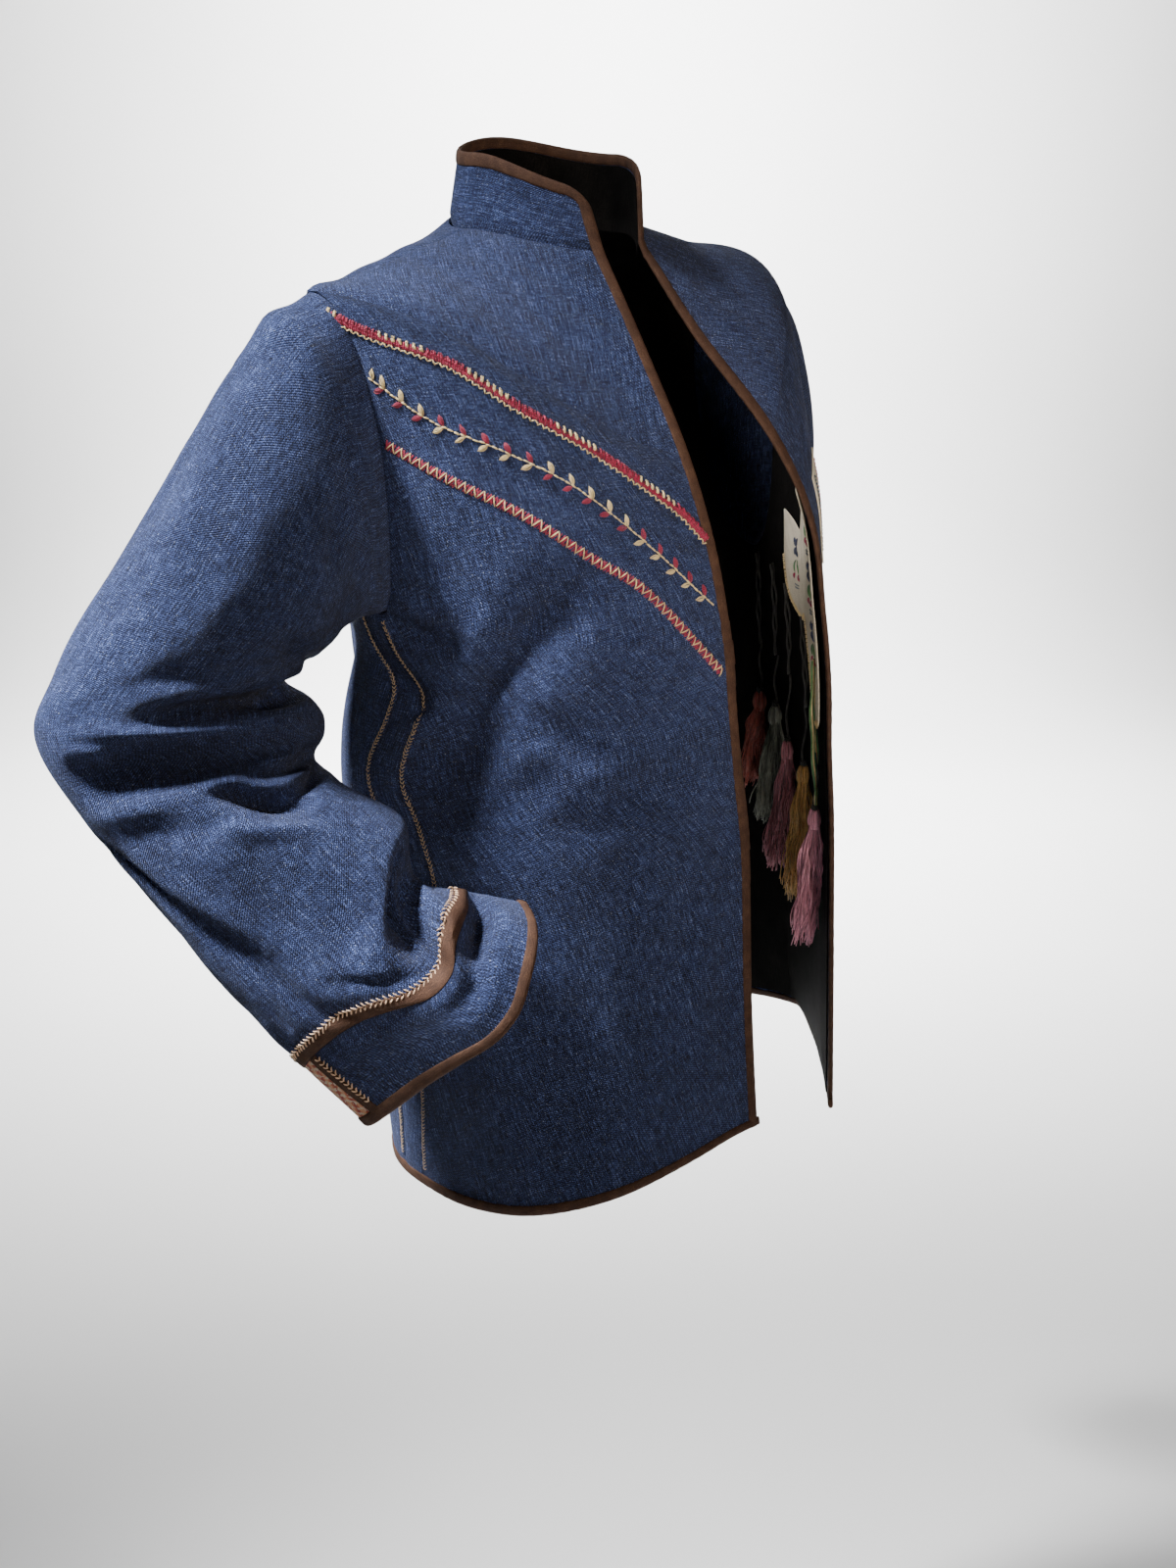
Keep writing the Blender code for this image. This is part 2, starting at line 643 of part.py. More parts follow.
def build_bindings():
    brown = paint("brown_binding", BROWN)
    half_over = (BINDING - CLOTH) / 2
    strip_between("edge_binding", edge_list(front_edge_path(0.0)),
                  edge_list(front_edge_path(BINDING_WIDTH)), brown, BINDING, half_over)
    angles_count = 46
    start = edge_angle(body_level(HEM_LEVEL), "right")
    end = 360.0 + edge_angle(body_level(HEM_LEVEL), "left")
    angles = [mix(start, end, f) for f in shares(angles_count)]
    top = HEM_LEVEL - BINDING_WIDTH / HEM_STEP
    low_edge = [(body_point(HEM_LEVEL, a), body_normal(HEM_LEVEL, a)) for a in angles]
    high_edge = [(body_point(top, a), body_normal(top, a)) for a in angles]
    strip_between("hem_binding", low_edge, high_edge, brown, BINDING, half_over)


# ---------------------------------------------------------------- sleeves
def sleeve_rows(sleeve, count):
    strip = sleeve.strip
    length = (sleeve.smooth(strip, 0) - sleeve.smooth(strip - 1, 0)).length
    tape = STRIP_WIDTH / length
    return [mix(0.0, strip - tape, f) for f in shares(count)] + [strip], tape


def build_sleeve(side, table, count):
    sleeve = Sleeve(side, table)
    hemp, brown = paint("indigo_hemp", HEMP), paint("brown_binding", BROWN)
    rows, tape = sleeve_rows(sleeve, count)
    places = [[(station, k) for k in range(RING)] for station in rows]
    shell("sleeve_" + side, places, sleeve.point, sleeve.normal, hemp, CLOTH, closed=True)
    shell("sleeve_strip_" + side, places[-2:], sleeve.point, sleeve.normal, brown, TAPE,
          lift=TAPE + SEAM_GAP, closed=True)
    build_cuff(sleeve, hemp, brown)


def build_cuff(sleeve, hemp, brown):
    """The cuff band with its embroidered panel set in along the outer line."""
    side = sleeve.side
    length = (sleeve.smooth(sleeve.last, 0) - sleeve.smooth(sleeve.strip, 0)).length
    first = sleeve.strip + 0.0006 / length
    last = sleeve.last - (BINDING_WIDTH + SEAM_GAP) / length
    rows = [mix(first, last, f) for f in shares(4)]
    panel_front, panel_back = 0.75, RING - 2.6
    tape = 0.45
    seam = 0.009
    band = [panel_front + seam, panel_front + tape] + [k for k in range(2, RING - 3)]
    band += [panel_back - tape, panel_back - seam]
    places = [[(station, k) for k in band] for station in rows]
    shell("cuff_band_" + side, places, sleeve.point, sleeve.normal, hemp, CLOTH)
    panel = [panel_back - RING + seam, -2, -1, 0, panel_front - seam]
    places = [[(station, k) for k in panel] for station in rows]
    shell("cuff_panel_" + side, places, sleeve.point, sleeve.normal, paint("red_embroidery", RED_CLOTH), CLOTH)
    for name, start, end in (("front", band[0], band[1]), ("back", band[-2], band[-1])):
        places = [[(station, start), (station, end)] for station in rows]
        shell("cuff_strip_%s_%s" % (name, side), places, sleeve.point, sleeve.normal, brown, TAPE,
              lift=TAPE + SEAM_GAP)
    ends = (sleeve.last - BINDING_WIDTH / length, float(sleeve.last))
    places = [[(station, k) for k in range(RING)] for station in ends]
    shell("cuff_binding_" + side, places, sleeve.point, sleeve.normal, brown, BINDING,
          lift=(BINDING - CLOTH) / 2, closed=True)


# ---------------------------------------------------------------- lining
def lining_point(level, angle):
    """The lining hangs clear of the folds, close to the cloth only at its edges."""
    height = body_smooth(level, angle).z - body_smooth(HEM_LEVEL, angle).z
    inward = ease(min(from_front_edge(level, angle), height) / 0.05) * ease(level / 0.8)
    hang = LINING_HANG * inward + body_folds(level, angle, LINING_SPREAD) * LINING_SWELL
    return body_smooth(level, angle) - body_normal(level, angle) * (CLOTH + LINING_EDGE + hang)


def build_lining():
    black = paint("black_lining", BLACK)
    rows = body_rows(4, 9)
    rows = [level for i, level in enumerate(rows) if not 5 <= i < 14 or i % 2]
    rows[-1] -= LINING_SHORT / HEM_STEP
    reach = BINDING_WIDTH + SEAM_GAP
    shell("lining_right", lining_front("right", rows, 7, reach), lining_point, body_normal, black, LINING)
    shell("lining_left", lining_front("left", rows, 7, reach), lining_point, body_normal, black, LINING)
    shell("lining_back", back_lining(rows, 10), lining_point, body_normal, black, LINING)


def lining_arm(side, level, half):
    """The lining has no gore: its side seam runs where the gore's front edge is."""
    if level > UNDERARM_LEVEL - 1e-6:
        away = -1.0 if half == "front" else 1.0
        return SIGN[side] * (body_level(level)["gore_front"] + away * SEAM_ANGLE)
    if half == "back" and level > SHOULDER_LEVEL:
        share = math.acos(3.0 - level) / math.pi
        plain = armhole(side, share, "back")[1]
        shift = body_level(UNDERARM_LEVEL)
        return plain - SIGN[side] * (shift["gore_back"] - shift["gore_front"]) * share**2
    return arm_angle(side, level, half)


def lining_front(side, rows, columns, reach):
    places = []
    for level in rows:
        start, end = inner_edge_angle(side, level, reach), lining_arm(side, level, "front")
        places.append([(level, mix(start, end, f)) for f in shares(columns)])
    return places


def back_lining(rows, columns):
    places = []
    for level in rows:
        start = lining_arm("right", level, "back")
        end = 360.0 + lining_arm("left", level, "back")
        places.append([(level, mix(start, end, f)) for f in shares(columns)])
    return places


# ---------------------------------------------------------------- inner panel and tassels
INNER_PANEL_TOP = 2.75          # level of its top edge
INNER_PANEL_CLEAR = 0.0035      # how far it hangs inside the lining
# Its two lobes' lower edge from the front edge towards the side: angle, level.
INNER_PANEL_EDGE = (
    (-35, 5.66), (-38, 5.78), (-44, 5.45), (-48, 5.00), (-52, 4.40), (-55, 4.46),
    (-62, 4.38), (-66, 4.20), (-68, 3.90),
)


def inner_panel_point(level, angle):
    return lining_point(level, angle) - body_normal(level, angle) * (LINING + INNER_PANEL_CLEAR)


def build_inner_panel():
    last = len(INNER_PANEL_EDGE) - 1
    columns = [last * f for f in shares(2 * last + 1)]
    angles = [along([edge[0] for edge in INNER_PANEL_EDGE], c) for c in columns]
    drops = [along([edge[1] for edge in INNER_PANEL_EDGE], c) for c in columns]
    places = [[(mix(INNER_PANEL_TOP, drop, down), angle) for angle, drop in zip(angles, drops)]
              for down in shares(6)]
    shell("inner_panel", places, inner_panel_point, body_normal, paint("cream_embroidery", CREAM), TAPE)


OUTER_PANEL_LEVELS = (2.86, 3.62)   # a narrow applied panel outside on the left front
OUTER_PANEL_ANGLES = (-41, -50)


def build_outer_panel():
    top, bottom = OUTER_PANEL_LEVELS
    near, far = OUTER_PANEL_ANGLES
    places = [[(mix(top, bottom, down), mix(near, far, f)) for f in shares(5)] for down in shares(9)]
    shell("outer_panel", places, body_point, body_normal, paint("cream_embroidery", CREAM), TAPE,
          lift=TAPE + SEAM_GAP)


def build_tassel(row):
    tassel = dict(zip(TASSEL_COLUMNS, row))
    sides = 6
    mesh = bmesh.new()
    x, y, top = tassel["x"], tassel["y"], tassel["head_z"]
    # rings down the cord, the knot and the bound neck to the skirt's root
    profile = ((tassel["hang_z"], .0009), (top + .006, .0009), (top + .003, .0032), (top - .004, .0042),
               (top - .008, .0030), (top - .012, .0050))
    rings = []
    for height, radius in profile:
        rings.append([mesh.verts.new((x + radius * math.cos(2 * math.pi * i / sides),
                                      y + radius * math.sin(2 * math.pi * i / sides), height))
                      for i in range(sides)])
    for upper, lower in zip(rings, rings[1:]):
        for i in range(sides):
            j = (i + 1) % sides
            mesh.faces.new((upper[i], upper[j], lower[j], lower[i]))
    mesh.faces.new(rings[0])
    root_z = profile[-1][0]
    inner = [mesh.verts.new((x + .0024 * math.cos(2 * math.pi * i / sides),
                             y + .0024 * math.sin(2 * math.pi * i / sides), root_z - .0005))
             for i in range(sides)]
    middle = mesh.verts.new((x, y, root_z - .0006))
    roots = []
    for i in range(sides):
        j = (i + 1) % sides
        roots.append(mesh.faces.new((rings[-1][j], rings[-1][i], inner[i], inner[j])))
        roots.append(mesh.faces.new((inner[j], inner[i], middle)))
    bmesh.ops.recalc_face_normals(mesh, faces=mesh.faces)
    bmesh.ops.inset_individual(mesh, faces=roots, thickness=0.0003)
    strands = bmesh.ops.extrude_discrete_faces(mesh, faces=roots)["faces"]
    length = root_z - tassel["tip_z"]
    for i, face in enumerate(strands):
        centre = face.calc_center_median()
        away = Vector((centre.x - x, centre.y - y, 0))
        drop = length * (0.86 + 0.14 * math.sin(i * 2.4) ** 2)
        for vert in face.verts:
            vert.co += away * 1.3 + Vector((0, 0, -drop)) + (vert.co - centre) * 0.15
    finish(tassel["name"], mesh, paint(tassel["name"] + "_thread", tassel["colour"], 0.6))


def main():
    for thing in list(bpy.data.objects):
        bpy.data.objects.remove(thing, do_unlink=True)
    build_body()
    build_collar()
    build_bindings()
    build_sleeve("right", RIGHT_SLEEVE, 23)
    build_sleeve("left", LEFT_SLEEVE, 13)
    build_lining()
    build_inner_panel()
    build_outer_panel()
    for row in TASSELS:
        build_tassel(row)


main()
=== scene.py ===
"""Looks of the embroidered hemp jacket: woven cloth, stitches, bindings, lining and tassels.

Metres, +Z up, the wearer faces -Y and the wearer's right is -X, as in the part.
"""
import math

import bpy
import numpy as np
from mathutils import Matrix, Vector


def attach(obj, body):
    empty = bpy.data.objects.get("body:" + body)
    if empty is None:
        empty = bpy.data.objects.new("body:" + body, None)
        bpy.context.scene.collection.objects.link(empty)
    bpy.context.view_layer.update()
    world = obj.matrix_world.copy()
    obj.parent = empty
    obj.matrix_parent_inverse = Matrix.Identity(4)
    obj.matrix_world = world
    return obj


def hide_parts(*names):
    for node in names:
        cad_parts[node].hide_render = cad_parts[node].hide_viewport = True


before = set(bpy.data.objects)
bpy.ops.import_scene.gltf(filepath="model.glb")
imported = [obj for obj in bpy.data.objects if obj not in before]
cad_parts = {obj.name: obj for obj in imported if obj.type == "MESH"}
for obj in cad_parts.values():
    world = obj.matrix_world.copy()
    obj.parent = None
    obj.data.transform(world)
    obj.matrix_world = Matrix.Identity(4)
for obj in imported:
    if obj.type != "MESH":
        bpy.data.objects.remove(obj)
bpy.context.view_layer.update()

# ---------------------------------------------------------------- the part's own sizes
CLOTH = 0.0018          # thickness of each cloth wall
COLLAR_CLOTH = 0.0024
LINING = 0.0009
TAPE = 0.0010
BINDING_WIDTH = 0.0075
STRIP_WIDTH = 0.0090
SEAM_GAP = 0.0003
ARMHOLE_GAP = 0.0007
COLLAR_HEIGHT = 0.046
COLLAR_CORNER = 0.016
LINING_EDGE = 0.0012    # how far the lining stands off the cloth at its edges
LINING_HANG = 0.0036    # how much further off it hangs between them
LINING_SPREAD = 1.9     # its folds are so many times wider than the cloth's
LINING_SWELL = 1.2      # and so many times deeper
LINING_SHORT = 0.0025   # how far it ends above the hem's binding
ARM_ROWS = 10           # steps from the shoulder to the underarm
RING = 2 * ARM_ROWS + 2
BODY_RADIUS = 0.19      # turns an angle round the body into metres
NECK_RADIUS = 0.075
HEM_STEP = 0.125        # metres that one level spans at the hem
HEM_TRIM = (BINDING_WIDTH + SEAM_GAP) / HEM_STEP
SIGN = {"right": 1.0, "left": -1.0}

SHOULDER_LEVEL = 2.0    # levels of the body table that the armhole runs between
UNDERARM_LEVEL = 4.0
HEM_LEVEL = 9.0
ARMHOLE_FRONT = 12.0    # degrees that the armhole bites into the front and back
ARMHOLE_BACK = 14.0

# One row for each ring round the body.  Edge columns are the two front edges,
# side columns the widest points, centre columns the ring's middle, and round
# columns say how square each quarter is (2 is an ellipse, 1 a straight slant).
# The gore columns are the angles of the two seams of the side gore.
BODY_COLUMNS = (
    "name", "right_edge_x", "right_edge_y", "right_edge_z", "left_edge_x", "left_edge_y", "left_edge_z",
    "right_side_x", "right_side_z", "left_side_x", "left_side_z", "back_y", "back_z",
    "centre_x", "centre_y", "round_right", "round_left", "round_back", "gore_front", "gore_back",
)
BODY = (
    ("neckline", -.028, -.092, -.018, .047, -.050, -.022, -.075, -.004, .075, -.004, .064, .009,
     .000, .000, 2.0, 2.0, 2.0, 90, 90),
    ("collarbone", -.024, -.130, -.080, .055, -.098, -.080, -.131, -.023, .131, -.019, .098, -.052,
     .000, .000, 1.75, 1.75, 1.65, 90, 90),
    ("shoulder", -.015, -.165, -.151, .083, -.148, -.150, -.205, -.043, .207, -.039, .118, -.135,
     .000, .000, 1.55, 1.6, 1.4, 90, 90),
    ("chest", -.001, -.179, -.217, .105, -.171, -.213, -.200, -.140, .210, -.135, .130, -.190,
     .004, -.004, 1.85, 1.7, 1.9, 89, 91),
    ("underarm", .009, -.186, -.283, .114, -.179, -.283, -.186, -.262, .208, -.262, .132, -.275,
     .010, -.010, 2.1, 1.75, 2.1, 86, 93),
    ("flank", .014, -.188, -.335, .118, -.183, -.335, -.185, -.318, .211, -.320, .130, -.325,
     .016, -.014, 2.2, 1.7, 2.1, 76, 83),
    ("waist", .019, -.190, -.385, .118, -.186, -.385, -.187, -.380, .217, -.380, .125, -.385,
     .020, -.018, 2.3, 1.6, 2.1, 82, 90),
    ("low_waist", .025, -.193, -.445, .118, -.191, -.445, -.186, -.450, .223, -.450, .119, -.450,
     .026, -.028, 2.4, 1.5, 2.1, 76, 84),
    ("hip", .024, -.200, -.555, .116, -.198, -.560, -.178, -.575, .234, -.568, .109, -.575,
     .028, -.040, 2.7, 1.3, 2.1, 85, 93),
    ("hem", .027, -.206, -.658, .113, -.205, -.672, -.167, -.704, .245, -.674, .100, -.700,
     .030, -.050, 3.0, 1.12, 2.1, 92, 100),
)

# The stand collar is a second pair of rings, the lower one on the neckline.
COLLAR = (
    BODY[0],
    ("collar_top", -.034, -.081, .022, .049, -.046, .029, -.067, .046, .067, .044, .056, .056,
     .000, .000, 2.0, 2.0, 2.0, 90, 90),
)

# Sleeve sections: the outer line runs from the shoulder over the elbow to the
# cuff's lower corner, the inner line from the underarm past the elbow's crease
# to the cuff's upper corner.  x is measured out from the wearer's middle.
SLEEVE_COLUMNS = (
    "name", "outer_x", "outer_y", "outer_z", "inner_x", "inner_y", "inner_z",
    "half_depth", "lead_high", "lead_low", "taper", "bulge",
)
RIGHT_SLEEVE = (
    ("head", .256, .010, -.083, .198, -.002, -.270, .064, .000, .000, .00, .000),
    ("upper", .306, .018, -.142, .208, -.004, -.277, .062, .000, .000, .00, .000),
    ("biceps", .358, .026, -.215, .224, -.008, -.288, .060, .000, .000, .00, .000),
    ("above_elbow", .395, .039, -.278, .242, -.012, -.301, .058, .002, .002, .00, .000),
    ("elbow", .409, .047, -.323, .231, -.028, -.323, .056, .004, .004, .00, .000),
    ("below_elbow", .391, .022, -.378, .243, -.042, -.346, .054, .006, .006, .05, .000),
    ("forearm", .365, -.014, -.431, .243, -.063, -.362, .053, .010, .008, .10, .000),
    ("swell", .340, -.050, -.484, .215, -.094, -.386, .053, .012, .008, .15, .005),
    ("gather", .320, -.078, -.519, .220, -.114, -.423, .050, .014, .004, .20, .013),
    ("strip", .304, -.096, -.544, .203, -.150, -.427, .046, .020, -.004, .40, .022),
    ("cuff", .276, -.127, -.585, .177, -.182, -.435, .042, .036, .008, .60, .010),
)
LEFT_SLEEVE = (
    ("head", .236, .004, -.066, .216, .007, -.268, .048, .000, .000, .00, .000),
    ("upper", .258, .012, -.128, .226, .012, -.284, .045, .000, .000, .00, .000),
    ("biceps", .284, .034, -.205, .232, .032, -.311, .048, .000, .000, .00, .000),
    ("above_elbow", .322, .068, -.300, .241, .060, -.375, .054, .000, .000, .00, .000),
    ("elbow", .356, .104, -.390, .264, .092, -.440, .060, .000, .000, .00, .000),
    ("forearm", .372, .126, -.475, .280, .114, -.505, .062, .000, .000, .00, .000),
    ("gather", .382, .140, -.550, .290, .128, -.568, .064, .000, .000, .05, .008),
    ("strip", .386, .146, -.598, .294, .134, -.608, .066, .000, .000, .08, .013),
    ("cuff", .390, .150, -.666, .298, .138, -.672, .068, .000, .000, .10, .000),
)

# Tassels inside the left front, from the front edge towards the side.
TASSEL_COLUMNS = ("name", "x", "y", "head_z", "tip_z", "hang_z", "colour")
TASSELS = (
    ("tassel_pink", .1332, -.1592, -.446, -.560, -.395, (.62, .26, .36)),
    ("tassel_gold", .1591, -.1228, -.424, -.535, -.372, (.56, .33, .10)),
    ("tassel_mauve", .1774, -.0881, -.415, -.526, -.355, (.42, .15, .19)),
    ("tassel_teal", .1867, -.0653, -.392, -.488, -.345, (.20, .21, .17)),
    ("tassel_rust", .1912, -.0438, -.385, -.464, -.340, (.34, .07, .05)),
)

# Folds of the body, each a trough between two points: degrees round from the
# front's middle, heights, and the trough's width and depth.
BODY_FOLDS = (
    (40, -.234, 56, -.292, .020, .011),
    (56, -.292, 78, -.396, .022, .013),
    (80, -.270, 62, -.275, .012, .006),
    (86, -.303, 72, -.319, .014, .008),
    (54, -.370, 76, -.404, .018, .009),
    (52, -.319, 36, -.352, .015, .006),
    (24, -.371, 44, -.398, .016, .006),
    (60, -.470, 82, -.500, .022, .007),
    (112, -.300, 128, -.375, .022, .008),
    (150, -.430, 196, -.455, .026, .007),
    (206, -.350, 236, -.310, .022, .006),
    (-84, -.330, -110, -.390, .020, .006),
    (-82, -.420, -66, -.470, .020, .005),
)
# Folds of a sleeve: from section and turn, to section and turn, width and depth.
# Turns count round from the outer line, and a quarter turn is the sleeve's front.
SLEEVE_FOLDS = {
    "right": (
        (4.60, .235, 3.92, .50, .0125, .0230),
        (5.60, .115, 5.70, .36, .0150, .0200),
        (5.70, .36, 6.05, .50, .013, .012),
        (6.15, .26, 6.90, .35, .012, .009),
        (8.80, .42, 9.80, .30, .014, .010),
        (10.36, .48, 10.42, .30, .012, .010),
        (7.30, .22, 8.40, .18, .016, .005),
        (3.10, .36, 3.30, .48, .014, .006),
        (4.20, .62, 4.40, .92, .018, .012),
        (5.60, .60, 5.90, .85, .016, .010),
    ),
    "left": (
        (1.60, .30, 2.20, .55, .016, .007),
        (4.00, .10, 4.40, .40, .016, .008),
        (5.00, .60, 4.70, .92, .016, .008),
        (6.00, .20, 6.30, .50, .016, .006),
    ),
}
BULGE_TURN = 0.29       # where round the sleeve the gathered cloth sags over the cuff
BULGE_WIDTH = 0.065
FOLD_STATION = 0.055    # metres between sleeve sections where folds are measured
FOLD_ROUND = 0.42       # and metres round the sleeve

INNER_PANEL_TOP = 2.75          # level of its top edge
INNER_PANEL_SLANT = 0.85        # how much lower the far lobe's top edge is
INNER_PANEL_CLEAR = 0.0035      # how far it hangs inside the lining
# Its two lobes' lower edge from the front edge towards the side: angle, level.
INNER_PANEL_EDGE = (
    (-35, 5.66), (-38, 5.78), (-44, 5.45), (-48, 5.00), (-52, 4.40), (-55, 4.46),
    (-62, 4.38), (-66, 4.20), (-68, 3.90),
)
OUTER_PANEL_LEVELS = (2.86, 3.62)   # a narrow applied panel outside on the left front
OUTER_PANEL_ANGLES = (-41, -50)

# Creases that the solids leave out, in the same columns; a negative depth is a ridge.
BODY_CREASES = (
    (40, -.236, 52, -.268, .008, .0050),
    (52, -.268, 62, -.320, .009, .0058),
    (56, -.322, 71, -.392, .013, .0060),
    (58, -.258, 66, -.300, .009, -.0035),
    (69, -.312, 79, -.350, .009, -.0035),
    (50, -.345, 63, -.392, .011, -.0030),
    (84, -.262, 66, -.277, .005, .0040),
    (70, -.318, 77, -.330, .006, .0026),
    (50, -.338, 60, -.345, .007, .0018),
    (30, -.245, 44, -.262, .008, .0018),
    (72, -.226, 80, -.244, .006, .0022),
    (60, -.205, 70, -.228, .008, .0014),
    (16, -.300, 26, -.330, .012, .0016),
    (20, -.470, 34, -.560, .020, .0022),
    (46, -.500, 52, -.640, .018, .0026),
    (66, -.520, 64, -.660, .016, -.0024),
    (8, -.420, 12, -.600, .014, .0014),
    (118, -.250, 126, -.300, .010, .0030),
    (140, -.330, 170, -.352, .014, .0028),
    (196, -.300, 214, -.268, .012, .0026),
    (170, -.520, 200, -.600, .022, .0030),
    (150, -.560, 152, -.680, .016, .0026),
    (212, -.480, 216, -.660, .018, .0028),
    (-60, -.300, -78, -.330, .010, .0022),
    (-70, -.540, -66, -.650, .016, .0024),
)
# How the worn right shoulder sits: level and its width, angle and its width, and
# how far in the cloth is drawn; a negative depth is a rise.
SHOULDER_SET = (
    (1.66, 0.25, 92, 16, .0058),
    (2.05, 0.22, 92, 12, -.0050),
    (0.85, 0.35, 98, 18, -.0032),
    (4.45, 1.00, 104, 24, .0150),
)
# Angle and height share of both ends, width and depth.
COLLAR_CREASES = (
    (78, .80, 30, .30, .006, .0011),
    (60, .95, 44, .70, .004, .0007),
    (100, .60, 84, .25, .005, .0009),
    (20, .85, 12, .35, .005, .0006),
    (150, .70, 190, .35, .007, .0012),
    (215, .30, 240, .70, .006, .0010),
    (275, .80, 320, .30, .007, .0010),
)
SLEEVE_CREASES = {
    "right": (
        (0.42, -.05, 0.42, .07, .020, -.0105),
        (1.90, -.05, 2.80, .04, .034, .0070),
        (6.20, .265, 6.78, .345, .009, .0150),
        (6.62, .235, 7.12, .325, .007, -.0040),
        (6.62, .365, 6.35, .480, .010, .0140),
        (8.35, .405, 9.38, .335, .0075, .0130),
        (8.60, .335, 9.20, .275, .012, -.0035),
        (5.30, .17, 5.38, .33, .013, .0085),
        (9.00, .43, 9.76, .325, .009, .0120),
        (9.10, .47, 9.90, .385, .007, -.0040),
        (10.17, .50, 10.20, .37, .009, .0180),
        (10.54, .45, 10.57, .30, .010, -.0065),
        (6.05, .31, 6.10, .46, .010, .0130),
        (5.80, .33, 5.78, .42, .006, -.0050),
        (6.35, .015, 7.20, .088, .0065, .0060),
        (7.20, .088, 7.90, .133, .0065, .0060),
        (7.90, .133, 9.70, .176, .0070, .0050),
        (6.60, .090, 8.10, .190, .0090, -.0026),
        (1.90, .40, 3.20, .46, .009, .0065),
        (0.90, .36, 2.00, .41, .007, .0050),
        (3.00, .33, 3.60, .40, .010, .0040),
        (4.44, .26, 4.00, .46, .010, .0060),
        (6.02, .07, 6.00, .20, .008, -.0030),
        (2.75, .25, 3.10, .235, .013, .0032),
        (3.50, .13, 3.80, .12, .014, .0026),
        (0.50, .22, 1.60, .30, .008, .0026),
        (0.60, .30, 1.40, .36, .007, .0022),
        (1.60, .10, 3.00, .16, .020, .0030),
        (3.90, .18, 3.60, .30, .009, .0030),
        (5.20, .10, 5.27, .17, .009, -.0040),
        (4.90, .10, 5.05, .30, .009, -.0040),
        (5.25, .22, 5.45, .38, .007, .0030),
        (6.30, .12, 6.60, .24, .009, .0032),
        (6.50, .24, 7.20, .36, .007, .0028),
        (7.60, .28, 8.60, .26, .008, .0026),
        (8.20, .12, 9.20, .10, .010, .0026),
        (9.00, .22, 9.60, .30, .006, .0030),
        (9.40, .16, 9.95, .20, .006, .0026),
        (9.50, .40, 9.96, .36, .005, .0026),
        (9.10, .06, 9.90, .08, .007, .0024),
        (10.15, .20, 10.80, .16, .006, .0020),
        (10.20, .32, 10.90, .30, .006, .0022),
        (4.40, .60, 4.60, .80, .008, .0030),
        (6.40, .62, 7.00, .84, .010, .0030),
        (8.60, .70, 9.60, .66, .009, .0030),
    ),
    "left": (
        (2.60, .20, 3.20, .34, .010, .0026),
        (3.40, .70, 4.00, .84, .010, .0026),
        (5.20, .12, 5.90, .20, .010, .0028),
        (7.00, .30, 7.80, .26, .008, .0024),
        (7.10, .60, 7.90, .64, .008, .0024),
    ),
}
BODY_UNEVEN = 0.0007        # how far the hanging cloth strays from a smooth surface
SLEEVE_UNEVEN = 0.0010

# Rows of needlework on the right front from the shoulder to the open edge: angle, height.
ROW_ONE = ((86, -.054), (78, -.066), (62, -.085), (48, -.113), (30, -.145), (12, -.184), (4, -.210))
ROW_TWO = ((78, -.095), (66, -.122), (52, -.141), (38, -.163), (24, -.197), (4, -.257))
ROW_THREE = ((76, -.139), (62, -.162), (48, -.184), (34, -.214), (22, -.240), (4, -.305))

# ---------------------------------------------------------------- curves
def unit(vectors):
    return vectors / np.maximum(np.linalg.norm(vectors, axis=-1, keepdims=True), 1e-12)


def mix(a, b, share):
    return a + (b - a) * share


def ease(share):
    share = np.clip(share, 0.0, 1.0)
    return share * share * (3 - 2 * share)


def wrap(angle):
    """The same direction between -180 and 180 degrees."""
    return (angle + 180.0) % 360.0 - 180.0


def curve_weights(f):
    """How much each of four neighbours counts at a share f of the middle span."""
    return ((-f + 2 * f**2 - f**3) / 2, (2 - 5 * f**2 + 3 * f**3) / 2,
            (f + 4 * f**2 - 3 * f**3) / 2, (f**3 - f**2) / 2)


def along(values, place):
    """A smooth curve through evenly spaced values, read at many places."""
    values = np.asarray(values, float)
    place = np.clip(np.asarray(place, float), 0.0, len(values) - 1.0)
    i = np.minimum(place.astype(int), len(values) - 2)
    ends = np.concatenate(([2 * values[0] - values[1]], values, [2 * values[-1] - values[-2]]))
    total = 0.0
    for step, weight in enumerate(curve_weights(place - i)):
        total = total + ends[i + step] * weight.reshape(weight.shape + (1,) * (values.ndim - 1))
    return total


def trough(across, up, start, end, width, depth):
    """Depth of a soft trough that runs from start to end, deepest in its middle."""
    run = (end[0] - start[0], end[1] - start[1])
    share = ((across - start[0]) * run[0] + (up - start[1]) * run[1]) / (run[0] ** 2 + run[1] ** 2)
    inside = np.clip(share, 0.0, 1.0)
    away = np.hypot(across - start[0] - run[0] * inside, up - start[1] - run[1] * inside)
    return depth * (0.55 + 0.45 * np.sin(math.pi * inside)) * np.exp(-((away / width) ** 2))


def ripple(across, up, size, phase):
    """A gentle unevenness of cloth, between -1 and 1."""
    a, b = across / size, up / size
    waves = np.sin(a * 1.9 + 1.3 * np.sin(b * 1.1 + phase))
    waves = waves + np.sin(b * 2.3 + 1.7 * np.sin(a * 0.8 + 2 * phase))
    return (waves + np.sin((a + b) * 1.4 + phase * 3)) / 3


# ---------------------------------------------------------------- body surface
BODY_NUMBERS = np.array([row[1:] for row in BODY], float)
COLLAR_NUMBERS = np.array([row[1:] for row in COLLAR], float)


def named_ring(numbers):
    """A ring's values by their column names."""
    return dict(zip(BODY_COLUMNS[1:], np.moveaxis(numbers, -1, 0)))


def body_ring(level):
    return named_ring(along(BODY_NUMBERS, level))


